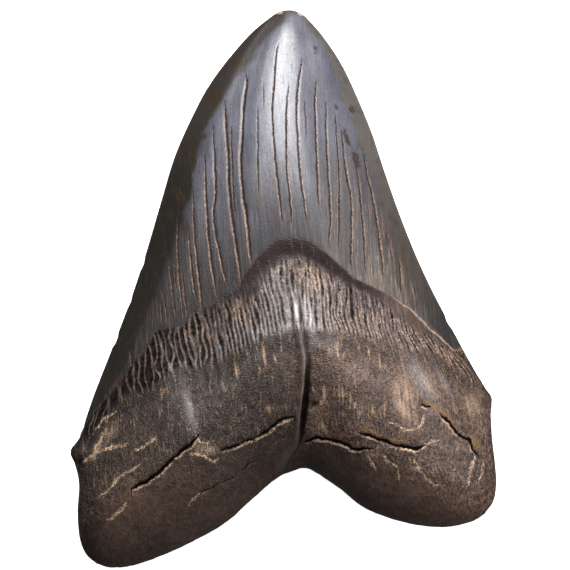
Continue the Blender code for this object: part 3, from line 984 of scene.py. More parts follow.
    def carve(self, mesh: bpy.types.Mesh) -> None:
        """Cuts the cracks and raises the grain on the mesh, and marks its places for the material.

        Args:
            mesh: The closed mesh, which is changed.
        """
        points, normals = self._vectors(mesh, "co") / MM, self._vectors(mesh, "normal")
        x, y = points[:, 0], points[:, 1]
        at = self._survey(x, y, self._read(mesh, "side") > 0.5)
        points = points + normals * self._relief(at)[:, None]
        points[:, :2] += self._nicks(x, y, at.edge)
        points = self._inside_box(points)
        mesh.vertices.foreach_set("co", (points * MM).astype(np.float32).ravel())
        mesh.update()
        for name, values in self._marks(at, self._read(mesh, "down")).items():
            self._keep(mesh, name, values)

    def _survey(self, x: Array, y: Array, inner: Array) -> Surface:
        """Works out what lies where on the tooth.

        Args:
            x: Places in plan.
            y: Places in plan.
            inner: Whether places are on the inner face.

        Returns:
            Every mark that the relief and the material share.
        """
        above = self._above_enamel_line(x, y, inner)
        edge = np.abs(nearest_on(self.form.rim(), x, y)[0])
        flow = self._flow(x, y)
        band, zone, hollow = self._band_and_wrinkles(x, y, above, inner)
        fissures, veins = ROOT_CRACKS.marks(x, y), VEINS.marks(x, y)
        for mark in (fissures, veins):
            mark["width"] = mark["width"] * inner
        groove, half_groove, brim = self._groove(x, y, inner, edge)
        return Surface(
            x=x, y=y, inner=inner, above=above, edge=edge, flow=flow, fold=self._folds(flow, y),
            band=band, zone=zone, hollow=hollow, fissures=fissures, veins=veins, groove=groove,
            half_groove=half_groove, brim=brim, cracks=self._enamel_cracks(x, y, inner),
            polish=self._patches(POLISH, x, y) * inner,
            lobes=smoothstep((-38 - 0.008 * x * x - y) / 9 + 0.5) * inner,
            arch=smoothstep((x + 13) / 6) * smoothstep((32 - x) / 8) * smoothstep((above + 11) / 6),
        )

    def _relief(self, at: Surface) -> Array:
        """Works out how far the carving lifts the surface.

        Args:
            at: What lies where on the tooth.

        Returns:
            Heights along the surface's normals, below zero where it is cut in.
        """
        x, y, flow = at.x, at.y, at.flow
        on_enamel = smoothstep(at.above / 0.5 + 0.5)
        on_root = 1 - on_enamel
        away = smoothstep(at.edge / 2.5)
        lift = -self.ledge_depth * on_root * bump(at.above + 0.3, 1.2)
        waves = self.enamel_waves * (1 - fractal(x / 14, y / 14, 31)) * on_enamel
        waves += self.root_waves * (1 - fractal(x / 9, y / 9, 41)) * smoothstep(-at.above / 5)
        lift -= (waves + self.hollow_depth * at.hollow) * away
        rough = on_root * (1 - np.maximum(at.band * 0.8, at.lobes * 0.6)) * away
        lift += self.grain_height * fractal(flow / 1.5, y / 1.5, 51, 2) * rough
        fibres = fractal(flow, y / 7, 61, 2) * on_root * (1 - at.zone)
        fluting = fractal(flow / 2.2, y / 40, 62, 2) + 0.5 * noise(flow / 0.9, y / 25, 64)
        fluting = fluting * on_enamel * smoothstep((34 - at.above) / 34) * away
        lift += self.fibre_height * fibres + self.fluting_height * fluting
        ridges = (bump(at.fold, 1.0) - 0.5) * at.zone * (1 - 0.5 * at.arch)
        lift += self.wrinkle_height * ridges + self.groove_brim_height * at.brim
        lift += self.polish_height * at.polish + self._cuts(at, on_enamel)
        return lift

    def _cuts(self, at: Surface, on_enamel: Array) -> Array:
        """Works out the relief of every crack, of the veins, the groove and the pit.

        Args:
            at: What lies where on the tooth.
            on_enamel: How far each place is on the enamel.

        Returns:
            Heights, below zero in the cuts and a little above it on the lips beside them.
        """
        lift = np.zeros(at.x.shape)
        for crack in at.cracks:
            trough = bump(crack["offset"], 0.16 + 0.35 * crack["width"])
            rim = bump(np.abs(crack["offset"]) - 0.4 - crack["width"], 0.3)
            lift -= crack["depth"] * (0.5 * trough - 0.12 * rim) * on_enamel
        offset, width = at.fissures["offset"], at.fissures["width"]
        half = np.maximum(width, 0.1) * 0.45
        lift -= at.fissures["depth"] * np.clip(1.2 - np.abs(offset) / half, 0, 1) * (half > 0.06)
        lift += self.fissure_lip * bump(offset - half - 0.2, 0.4) * np.clip(width / 0.7, 0, 1)
        vein = bump(at.veins["offset"], 0.35) * np.clip(at.veins["width"] / 0.4, 0, 1)
        lift -= self.vein_depth * vein
        cut = np.clip(1.2 - np.abs(at.groove) / np.maximum(at.half_groove, 0.01), 0, 1)
        lift -= self.groove_depth * cut * np.clip(at.half_groove / 0.8, 0, 1)
        pit_x, pit_y, pit_radius, pit_depth = self.pit
        pit = bump(np.hypot(at.x - pit_x, at.y - pit_y), pit_radius)
        return lift - pit_depth * pit * at.inner

    def _marks(self, at: Surface, down: Array) -> dict[str, Array]:
        """Gathers what the material reads.

        Args:
            at: What lies where on the tooth.
            down: How far down the tooth each place is.

        Returns:
            One number per vertex, by the name of its mark.
        """
        left, right = self._edge_bands(at.x, at.y, at.edge, down)
        marks = {
            "above": at.above, "flow": at.flow, "band": at.band, "zone": at.zone, "fold": at.fold,
            "arch": at.arch, "hollow": at.hollow, "lobes": at.lobes, "polish": at.polish,
            "fissure": at.fissures["offset"], "fissure_width": at.fissures["width"],
            "vein": at.veins["offset"], "vein_width": at.veins["width"],
            "groove": at.groove, "groove_width": at.half_groove, "brim": at.brim,
            "left_band": left, "right_band": right, "left_dark": self._left_dark(at.x, at.y),
            "chip": self._patches(CHIPS, at.x, at.y),
        }
        for name, patches in (("stain", STAINS), ("rust", RUST), ("worn", WORN), ("fleck", FLECKS)):
            marks[name] = self._patches(patches, at.x, at.y) * at.inner
        for name, crack in zip(CRACK_LAYERS, at.cracks):
            marks[name] = crack["offset"]
            marks[name + "_width"] = crack["width"]
        return marks

    def _above_enamel_line(self, x: Array, y: Array, inner: Array) -> Array:
        """Measures how far places lie above the line where the enamel ends.

        Args:
            x: Places in plan.
            y: Places in plan.
            inner: Whether places are on the inner face.

        Returns:
            Distances, negative on the root.
        """
        above = np.zeros(x.shape)
        for face in Face:
            chosen = inner == (face is Face.LINGUAL)
            line = self.enamel_foot if face is Face.LINGUAL else self.form.enamel_line(face)
            distance, share = nearest_on(smooth_curve(line, 4), x[chosen], y[chosen])
            above[chosen] = 0.16 * fractal(share * 60, share * 0, 21, 3) - distance
        return above - self.bare_edge.over(x, y) * inner

    def _flow(self, x: Array, y: Array) -> Array:
        """Follows the leaning fibres of the tooth.

        Args:
            x: Places in plan.
            y: Places in plan.

        Returns:
            A place across the tooth that stays the same along a fibre.
        """
        top = np.interp(x, *np.array(self.form.lingual_enamel_line).T)
        up = np.minimum(y, top) + 12
        up = np.where(up < 0, 12 * np.tanh(up / 12), up)
        crown = curve_height(self.crown_lean, x) * np.maximum(y - top, 0)
        foot = np.minimum(y - curve_height(self.wrinkle_foot, x) - 4, 0)
        foot = curve_height(self.foot_lean, x) * 5 * np.tanh(foot / 5)
        return x + curve_height(self.fibre_lean, x) * up + crown + foot

    def _band_and_wrinkles(
        self, x: Array, y: Array, above: Array, inner: Array
    ) -> tuple[Array, Array, Array]:
        """The smooth dark band below the enamel, the wrinkled zone, and the hollow under that.

        Args:
            x: Places in plan.
            y: Places in plan.
            above: Distances above the enamel line.
            inner: Whether places are on the inner face.

        Returns:
            How far each place belongs to the band, to the wrinkles and to the hollow.
        """
        height = np.where(inner, curve_height(self.band_foot, x), 1.8)
        ragged = 0.9 * fractal(x / 0.9, y / 6, 71)
        below = -above
        band = smoothstep(below / 0.4) * (1 - smoothstep((below - height + ragged) / 2.0 + 0.5))
        foot = curve_height(self.wrinkle_foot, x)
        uneven = 1.1 * fractal(x / 2.2, x * 0, 73)
        zone = smoothstep((below - height + ragged) / 1.6 + 0.5)
        zone = zone * smoothstep((y - foot + uneven) / 2.4 + 0.5) * inner
        hollow = bump(y - foot + 2.4, 1.9) * inner
        return band, zone, hollow

    def _folds(self, flow: Array, y: Array) -> Array:
        """A field that crosses zero at the crest of each upright wrinkle.

        Args:
            flow: Places across the fibres.
            y: Places in plan.

        Returns:
            The field, from about -2 to 2, where a wrinkle reaches from -1 to 1. The wrinkles wander,
            meet and part again.
        """
        places, pitches = np.array(self.wrinkle_pitch).T
        steps = np.linspace(places[0] - 20, places[-1] + 20, 600)
        counts = np.cumsum(1 / np.interp(steps, places, pitches)) * (steps[1] - steps[0])
        count = np.interp(flow, steps, counts)
        count = count + 0.45 * noise(flow / 4.0, y / 7.0, 81) + 0.22 * noise(flow / 1.2, y / 3.0, 82)
        loose = 0.65 + 0.75 * smoothstep((-16 - flow) / 16)
        waves = np.sin(math.pi * count) + loose * noise(count, y / 3.2, 84)
        return waves / curve_height(self.ridge_width, flow)

    @staticmethod
    def _enamel_cracks(x: Array, y: Array, inner: Array) -> list[dict[str, Array]]:
        """Marks the enamel cracks of both faces, each face with its own.

        Args:
            x: Places in plan.
            y: Places in plan.
            inner: Whether places are on the inner face.

        Returns:
            The marks of each layer of cracks.
        """
        layers = []
        for here, there in zip(LINGUAL_ENAMEL_CRACKS.apart(), LABIAL_ENAMEL_CRACKS.apart()):
            lingual, labial = here.marks(x, y), there.marks(x, y)
            layers.append({name: np.where(inner, lingual[name], labial[name]) for name in lingual})
        return layers

    def _groove(
        self, x: Array, y: Array, inner: Array, edge: Array
    ) -> tuple[Array, Array, Array]:
        """The nutrient groove and the rounded brim along its left side.

        Args:
            x: Places in plan.
            y: Places in plan.
            inner: Whether places are on the inner face.
            edge: Distances from the outline.

        Returns:
            The offset from the groove, its half width, which is zero away from it, and how far each
            place belongs to the brim.
        """
        offset, _ = self.form.groove_offset(x, y)
        offset = offset + self.groove_foot_bend * smoothstep((-38 - y) / 9)
        offset = offset + 0.18 * fractal(y / 3.0, y * 0, 75, 2)
        half = np.interp(y, self.groove_at, self.groove_half)
        width = np.interp(y, self.groove_at, self.groove_brim)
        near = 1 - smoothstep((np.abs(offset) - 3.0) / 0.8)
        there = near * inner * smoothstep((edge - 0.8) / 1.4)
        brim = bump(offset + half + width, width) * there * smoothstep((-1 - y) / 3)
        return offset, half * there, brim

    @staticmethod
    def _patches(patches: tuple[Patch, ...], x: Array, y: Array) -> Array:
        """The strongest of several soft patches at each place."""
        return np.maximum.reduce([patch.over(x, y) for patch in patches])

    def _edge_bands(self, x: Array, y: Array, edge: Array, down: Array) -> tuple[Array, Array]:
        """Measures the stained bands along the two cutting edges.

        Args:
            x: Places in plan.
            y: Places in plan.
            edge: Distances from the outline.
            down: How far down the tooth each place is.

        Returns:
            How far each place lies in the left band, and in the right one.
        """
        uneven = self.edge_band_waver * fractal(x / 4, y / 4, 95)
        bands = []
        left = smoothstep((1 - x) / 5 + 0.5)
        for widths, side in ((self.left_edge_band, left), (self.right_edge_band, 1 - left)):
            width = curve_height(widths, y) + uneven
            beyond = smoothstep((edge - width) / self.edge_band_softness + 0.5)
            bands.append(side * (1 - beyond) * (down <= 1))
        return bands[0], bands[1]

    @staticmethod
    def _left_dark(x: Array, y: Array) -> Array:
        """How far each place lies in the darker lower left of the crown, which is painted darker,
        partly as painted shade where the light falls off.
        """
        return smoothstep((20 - y - 1.1 * (x + 12)) / 28)

    def _nicks(self, x: Array, y: Array, edge: Array) -> Array:
        """Works out the small nicks of the cutting edges.

        Args:
            x: Places in plan.
            y: Places in plan.
            edge: Distances from the outline.

        Returns:
            How far each place is pushed in, in plan.
        """
        push = np.zeros((len(x), 2))
        for nick_x, nick_y, depth in self.nicks:
            near = bump(np.hypot(x - nick_x, y - nick_y), self.nick_radius)
            near = near * (1 - smoothstep(edge / self.nick_reach))
            push[:, 0] -= np.sign(nick_x) * depth * near
        return push

    @staticmethod
    def _inside_box(points: Array) -> Array:
        """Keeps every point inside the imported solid's box."""
        low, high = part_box(TOOTH_NODE)
        return np.clip(points, np.array(low) / MM, np.array(high) / MM)

    @staticmethod
    def _vectors(mesh: bpy.types.Mesh, name: str) -> Array:
        """Reads one vector per vertex.

        Args:
            mesh: The mesh.
            name: Which vector: its place or its normal.

        Returns:
            The vectors, one in a row.
        """
        values = np.zeros(len(mesh.vertices) * 3, np.float32)
        mesh.vertices.foreach_get(name, values)
        return values.reshape(-1, 3).astype(float)

    @staticmethod
    def _read(mesh: bpy.types.Mesh, name: str) -> Array:
        """Reads one number per vertex.

        Args:
            mesh: The mesh.
            name: The name of the layer that holds it.

        Returns:
            The numbers.
        """
        values = np.zeros(len(mesh.vertices), np.float32)
        mesh.attributes[name].data.foreach_get("value", values)
        return values.astype(float)

    @staticmethod
    def _keep(mesh: bpy.types.Mesh, name: str, values: Array) -> None:
        """Stores one number per vertex for the material to read."""
        layer = mesh.attributes.get(name) or mesh.attributes.new(name, "FLOAT", "POINT")
        layer.data.foreach_set("value", values.astype(np.float32))


# Materials


class Wire:
    """A value in a material's node tree. Arithmetic on it adds Math nodes."""

    def __init__(self, tree: bpy.types.NodeTree, socket: bpy.types.NodeSocket) -> None:
        """Wraps one output socket of the tree."""
        self.tree = tree
        self.socket = socket

    def math(self, operation: str, *values: "Wire | float") -> "Wire":
        """Adds one Math node.

        Args:
            operation: The node's operation.
            values: Its inputs, wires or numbers.

        Returns:
            The node's result.
        """
        node = self.tree.nodes.new("ShaderNodeMath")
        node.operation = operation
        for slot, value in zip(node.inputs, values):
            if isinstance(value, Wire):
                self.tree.links.new(value.socket, slot)
            else:
                slot.default_value = value
        return Wire(self.tree, node.outputs[0])

    def __add__(self, other: "Wire | float") -> "Wire":
        """The sum."""
        return self.math("ADD", self, other)

    __radd__ = __add__

    def __sub__(self, other: "Wire | float") -> "Wire":
        """The difference."""
        return self.math("SUBTRACT", self, other)

    def __rsub__(self, other: float) -> "Wire":
        """The difference from a number."""
        return self.math("SUBTRACT", other, self)

    def __mul__(self, other: "Wire | float") -> "Wire":
        """The product."""
        return self.math("MULTIPLY", self, other)

    __rmul__ = __mul__

    def __abs__(self) -> "Wire":
        """The value without its sign."""
        return self.math("ABSOLUTE", self)

    def least(self, other: "Wire | float") -> "Wire":
        """The smaller of two values."""
        return self.math("MINIMUM", self, other)

    def most(self, other: "Wire | float") -> "Wire":
        """The larger of two values."""
        return self.math("MAXIMUM", self, other)


class Painter:
    """Adds nodes to one material."""

    def __init__(self, material: bpy.types.Material) -> None:
        """Starts on a material whose tree holds only the shader and its output."""
        self.tree = material.node_tree
        self.shader = self.tree.nodes["Principled BSDF"]

    def add(
        self, kind: str, settings: dict[str, object] | None = None,
        inputs: dict[str | int, object] | None = None, output: str | int = 0,
    ) -> Wire:
        """Adds one node.

        Args:
            kind: The node's type.
            settings: Its properties, which are set first.
            inputs: Values or wires for its sockets.
            output: Which of its outputs to give back.

        Returns:
            That output.
        """
        node = self.tree.nodes.new(kind)
        for name, value in (settings or {}).items():
            setattr(node, name, value)
        for name, value in (inputs or {}).items():
            socket = node.inputs[name]
            if isinstance(value, Wire):
                self.tree.links.new(value.socket, socket)
            else:
                socket.default_value = (*value, 1) if socket.type == "RGBA" else value
        return Wire(self.tree, node.outputs[output])

    def value(self, name: str) -> Wire:
        """A number that the mesh keeps for each vertex."""
        return self.add("ShaderNodeAttribute", {"attribute_name": name}, output="Fac")

    def rise(self, value: Wire, low: float, high: float) -> Wire:
        """A smooth rise from 0 to 1 as a value goes from low to high."""
        return self.add(
            "ShaderNodeMapRange", {"interpolation_type": "SMOOTHSTEP"},
            {"Value": value, "From Min": low, "From Max": high},
        )

    def fall(self, value: Wire, low: float, high: float) -> Wire:
        """A smooth fall from 1 to 0 as a value goes from low to high."""
        return 1 - self.rise(value, low, high)

    def place(self, x: Wire | float, y: Wire | float, z: Wire | float) -> Wire:
        """A vector from three numbers."""
        return self.add("ShaderNodeCombineXYZ", inputs={"X": x, "Y": y, "Z": z})

    def noise(self, place: Wire, scale: float, detail: float = 2, roughness: float = 0.5) -> Wire:
        """Noise about 0.5, from 0 to 1.

        Args:
            place: Where it is read.
            scale: Bumps in one unit of the place.
            detail: How many finer layers it has.
            roughness: How strong the finer layers are.

        Returns:
            The noise.
        """
        return self.add(
            "ShaderNodeTexNoise", {"noise_dimensions": "3D"},
            {"Vector": place, "Scale": scale, "Detail": detail, "Roughness": roughness},
        )

    def mix(self, share: Wire | float, first: Wire | Colour, second: Wire | Colour) -> Wire:
        """A colour between two colours."""
        sockets = {MIX_SHARE: share, MIX_FIRST: first, MIX_SECOND: second}
        return self.add("ShaderNodeMix", {"data_type": "RGBA"}, sockets, MIX_RESULT)

    def shade(self, colour: Wire, factor: Wire) -> Wire:
        """A colour made darker or lighter by a number.

        Args:
            colour: The colour.
            factor: The number, where 1 leaves the colour as it is.

        Returns:
            The product.
        """
        grey = self.place(factor, factor, factor)
        settings = {"data_type": "RGBA", "blend_type": "MULTIPLY"}
        sockets = {MIX_SHARE: 1.0, MIX_FIRST: colour, MIX_SECOND: grey}
        return self.add("ShaderNodeMix", settings, sockets, MIX_RESULT)

    def link(self, name: str, wire: Wire) -> None:
        """Feeds one of the shader's sockets."""
        self.tree.links.new(wire.socket, self.shader.inputs[name])

    def bump(self, height: Wire) -> None:
        """Gives the surface fine relief, by its height in millimetres."""
        sockets = {"Strength": 1.0, "Distance": MM, "Height": height}
        self.link("Normal", self.add("ShaderNodeBump", inputs=sockets, output="Normal"))

    def hollow(self, share: Wire) -> None:
        """Turns part of the surface into deep shade, as in an open crack.

        Args:
            share: How deep the shade is, from 0 to 1.
        """
        shade = self.tree.nodes.new("ShaderNodeBsdfPrincipled")
        shade.inputs["Base Color"].default_value = (*DEEP_SHADE, 1)
        shade.inputs["Roughness"].default_value = 1.0
        shade.inputs["Specular IOR Level"].default_value = 0.0
        lit, shaded = Wire(self.tree, self.shader.outputs[0]), Wire(self.tree, shade.outputs[0])
        both = self.add("ShaderNodeMixShader", inputs={0: share, 1: lit, 2: shaded})
        surface = self.tree.nodes["Material Output"].inputs["Surface"]
        self.tree.links.new(both.socket, surface)


class ToothPainter(Painter):
    """A painter that knows its place on the tooth, in millimetres and along the fibres."""

    def __init__(self, material: bpy.types.Material) -> None:
        """Starts on the tooth's material, and reads the places that its patterns share.

        Args:
            material: The material, whose tree holds only the shader and its output.
        """
        super().__init__(material)
        metres = self.add("ShaderNodeTexCoord", output="Object")
        self.here = self.add(
            "ShaderNodeVectorMath", {"operation": "SCALE"}, {"Vector": metres, "Scale": 1 / MM}
        )
        self.x, self.y = self._axis("X"), self._axis("Y")
        self.above = self.value("above")
        self.flow = self.value("flow")

    def _axis(self, name: str) -> Wire:
        """One coordinate of the place, in millimetres."""
        return self.add("ShaderNodeSeparateXYZ", inputs={"Vector": self.here}, output=name)

    def mottle(self, scale: float, detail: float = 2, roughness: float = 0.5) -> Wire:
        """Noise that is the same in every direction, with so many bumps in a millimetre."""
        return self.noise(self.here, scale, detail, roughness)

    def streaks(self, across: float, along: float, start: float) -> Wire:
        """Noise drawn out along the tooth's fibres.

        Args:
            across: Streaks in a millimetre across the fibres.
            along: Streaks in a millimetre along them.
            start: Where the pattern starts, so that no two are alike.

        Returns:
            The noise, about 0.5.
        """
        place = self.place(self.flow * across, self.y * along, start)
        return self.noise(place, 1.0, 4, 0.65)

    def threads(self, streaks: Wire, core: float, edge: float) -> Wire:
        """Thin lines along the fibres, where a pattern of streaks crosses its middle."""
        return self.fall(abs(streaks - 0.5), core, edge)


@dataclass(frozen=True)
class Look:
    """What one part of the surface feeds to the shader."""

    colour: Wire
    roughness: Wire
    gloss: Wire
    height: Wire
    # How much painted deep shade is mixed in: in cracks, the groove, the wrinkles' valleys, the pits
    # and over the band
    painted_shade: Wire

    def towards(self, other: "Look", share: Wire, paint: Painter) -> "Look":
        """Blends this look with another.

        Args:
            other: The look where the share is 1.
            share: How far to go, from 0 to 1.
            paint: The painter of the material.

        Returns:
            The look between the two.
        """
        numbers = {}
        for name in ("roughness", "gloss", "height", "painted_shade"):
            start, end = getattr(self, name), getattr(other, name)
            numbers[name] = start + (end - start) * share
        return Look(colour=paint.mix(share, self.colour, other.colour), **numbers)


@dataclass(frozen=True)
class EnamelFinish:
    """Polished blue-grey enamel, darker below, partly with painted shade, with brown edges and cracks
    filled with tan.
    """

    steel: Colour = (0.044, 0.046, 0.063)
    pale_steel: Colour = (0.078, 0.081, 0.108)
    dark_steel: Colour = (0.017, 0.0162, 0.017)
    crown_brown: Colour = (0.042, 0.034, 0.030)
    olive: Colour = (0.015, 0.0130, 0.0095)
    edge_brown: Colour = (0.044, 0.037, 0.032)
    edge_grey: Colour = (0.070, 0.062, 0.052)
    stain_brown: Colour = (0.027, 0.0155, 0.0085)
    crack_brown: Colour = (0.040, 0.020, 0.013)
    crack_tan: Colour = (0.27, 0.182, 0.132)
    chip_grey: Colour = (0.33, 0.245, 0.195)

    def look(self, paint: ToothPainter) -> Look:
        """Works out the enamel's look.

        Args:
            paint: The painter of the tooth's material.

        Returns:
            What the enamel feeds to the shader.
        """
        fine, hair = paint.streaks(2.4, 0.10, 0.0), paint.streaks(3.0, 0.30, 4.0)
        speck, dimple = paint.mottle(2.8, 1), paint.mottle(1.4, 1)
        cloud, blotches = paint.mottle(0.09, 3), paint.mottle(0.35, 3)
        low = paint.fall(paint.above, 0.0, 26.0)
        warmth = paint.rise(paint.x, 5.0, 24.0) * paint.fall(paint.above, 8.0, 36.0)

        colour = self._steel(paint, cloud, low, warmth)
        colour = paint.shade(colour, 1 + (speck - 0.5) * 0.9)
        ribbed = 0.42 + low * 0.7
        broad = paint.streaks(0.8, 0.05, 7.0)
        colour = paint.shade(colour, 1 + (fine - 0.5) * ribbed * 2.4 + (broad - 0.5) * ribbed)
        hairline = paint.threads(paint.streaks(0.42, 0.035, 6.0), 0.004, 0.02)
        hairline = hairline * paint.fall(paint.above, 22.0, 60.0) * paint.rise(hair, 0.40, 0.55)
        colour = paint.mix(hairline * 0.75, colour, self.crack_brown)
        warm = paint.rise(fine * 0.6 + hair * 0.4, 0.54, 0.66) * low
        colour = paint.mix(warm * 0.16, colour, FLECK_TAN)
        stripes = paint.threads(paint.streaks(0.5, 0.03, 11.0), 0.01, 0.04)
        stripes = stripes * paint.fall(paint.above, 6.0, 34.0) * paint.rise(hair, 0.36, 0.6)
        colour = paint.mix(stripes * (0.06 + warmth * 0.3), colour, FLECK_TAN)

        colour = self._edges(paint, colour, blotches)
        crumbled = blotches + paint.mottle(0.9, 3, 0.7) * 2 - 1.5
        stain = paint.rise(paint.value("stain") + crumbled * 0.9, 0.2, 0.7)
        colour = paint.mix(stain * 0.92, colour, self.stain_brown)
        chip = paint.rise(paint.value("chip") + (hair - 0.5) * 0.8, 0.3, 0.6)
        colour = paint.mix(chip * 0.8, colour, self.chip_grey)

        gap, fill = self._cracks(paint, low)
        broken = paint.rise(paint.mottle(0.8, 3, 0.7), 0.42, 0.60)
        tan = paint.mix(paint.rise(cloud, 0.4, 0.6), self.crack_tan, WORN_TAN)
        colour = paint.mix(fill * (0.18 + low * 0.18 + broken * 0.40), colour, tan)
        colour = paint.mix(gap * (0.75 + broken * 0.2), colour, self.crack_brown)
        gloss = 0.98 + (dimple - 0.5) * 0.8 + (fine - 0.5) * 0.6
        for mark, loss in (
            (fill, 0.4), (gap, 1.0), (low, 0.5), (stain, 0.85), (paint.value("left_dark"), 0.5),
            (paint.value("left_band"), 0.92), (paint.value("right_band"), 0.75),
        ):
            gloss = gloss * (1 - mark * loss)
        ribs = (fine - 0.5) * (0.07 + low * 0.12) + (speck - 0.5) * 0.08 + (dimple - 0.5) * 0.045
        return Look(
            colour=colour,
            roughness=0.50 + (fine - 0.5) * 0.2 + fill * 0.15,
            gloss=gloss,
            height=ribs + fill * 0.07 - gap * 0.16 - hairline * 0.03,
            # Painted deep shade along each crack's dark line
            painted_shade=gap * 0.5,
        )

    def _steel(self, paint: ToothPainter, cloud: Wire, low: Wire, warmth: Wire) -> Wire:
        """Colours the plain enamel.

        Args:
            paint: The painter of the tooth's material.
            cloud: The pattern of its paler places.
            low: How near each place is to the foot of the crown.
            warmth: How brown each place is.

        Returns:
            The colour: blue-grey, darker at the lower left and along the foot, where a darker enamel is
                mixed with painted shade, and browner at the right.
        """
        colour = paint.mix(paint.rise(cloud, 0.35, 0.7), self.steel, self.pale_steel)
        # Darker enamel together with painted shade at the lower left and along the foot
        colour = paint.mix(paint.value("left_dark") * 0.95, colour, self.dark_steel)
        colour = paint.mix(low * 0.84, colour, self.dark_steel)
        return paint.mix(warmth * 0.85, colour, self.crown_brown)

    def _edges(self, paint: ToothPainter, colour: Wire, blotches: Wire) -> Wire:
        """Lays the stained bands along the two cutting edges.

        Args:
            paint: The painter of the tooth's material.
            colour: The colour of the enamel.
            blotches: The pattern that breaks up the bands.

        Returns:
            The colour with an olive band at the left and a brown and grey one at the right.
        """
        upper = paint.rise(paint.y, 26.0, 48.0)
        blotch = paint.rise(blotches, 0.46, 0.70)
        patchy = (blotches - 0.5) * 1.1
        rim = paint.shade(paint.mix(upper, self.olive, self.edge_brown), 0.78 - upper * 0.28)
        rim = paint.mix(blotch * (0.3 + upper * 0.15), rim, self.stain_brown)
        left = paint.rise(paint.value("left_band") + patchy, 0.05, 0.85)
        colour = paint.mix(left, colour, rim)
        rim = paint.mix(paint.fall(paint.y, -12.0, 8.0), self.edge_brown, self.dark_steel)
        rim = paint.mix(paint.rise(paint.y, 6.0, 38.0), rim, self.edge_grey)
        rim = paint.mix(blotch * 0.35, rim, self.stain_brown)
        right = paint.rise(paint.value("right_band") + patchy, 0.05, 0.9)
        return paint.mix(right * 0.85, colour, rim)

    @staticmethod
    def _cracks(paint: ToothPainter, low: Wire) -> tuple[Wire, Wire]:
        """Reads the cracks of the enamel.

        Args:
            paint: The painter of the tooth's material.
            low: How near each place is to the foot of the crown, where the cracks are wider.

        Returns:
            How far each place lies in a crack's dark line, and in the pale filling beside it.
        """
        crumbled = paint.mottle(1.5, 4, 0.75) - 0.5
        gaps, fills = [], []
        for name in CRACK_LAYERS:
            offset, width = paint.value(name) + crumbled, paint.value(name + "_width")
            there = paint.rise(width, 0.03, 0.12)
            half = width * (0.22 + low * 0.1)
            gaps.append(paint.fall(abs(offset + width * 0.2) - half, -0.02, 0.16) * there)
            beside = abs(offset - width * (0.5 + low * 0.2)) - width * (0.26 + low * 0.25)
            fills.append(paint.fall(beside, -0.02, 0.17) * there)
        return reduce(Wire.most, gaps), reduce(Wire.most, fills)


class RootPatterns:
    """The marks and the noise that the parts of the root's finish share."""

    def __init__(self, paint: ToothPainter) -> None:
        """Reads the marks that the mesh keeps, and adds the noise.

        Args:
            paint: The painter of the tooth's material.
        """
        self.band, self.zone = paint.value("band"), paint.value("zone")
        self.worn, self.polish = paint.value("worn"), paint.value("polish")
        self.lobes, self.brim = paint.value("lobes"), paint.value("brim")
        self.left = paint.fall(paint.x, -10.0, 12.0)
        self.grain, self.pits = paint.mottle(2.8, 1), paint.mottle(1.7, 1)
        self.coarse = paint.mottle(0.5, 2, 0.6)
        self.crumbs = (paint.mottle(1.1, 2, 0.6) - 0.5) * 0.9
        self.fine = paint.streaks(2.2, 0.14, 3.0)
        self.fibre = paint.streaks(1.1, 0.22, 5.0)
        self.beads = paint.streaks(2.3, 0.80, 9.0)
        rippled = paint.add(
            "ShaderNodeVectorMath", {"operation": "MULTIPLY"}, {0: paint.here, 1: RIPPLES}
        )
        upper = paint.rise(paint.y, -28.0, -15.0)
        self.texture = self.beads + (paint.noise(rippled, 1.0) - self.beads) * upper
        broken = (self.beads - 0.5) * 1.4 + (self.grain - 0.5) * 1.5
        self.fold = abs(paint.value("fold") + broken)
        self.knots = paint.rise(paint.mottle(0.95, 2, 0.6), 0.37, 0.59)
        self.crest = paint.fall(self.fold - self.knots * 0.3, 0.6, 1.3)


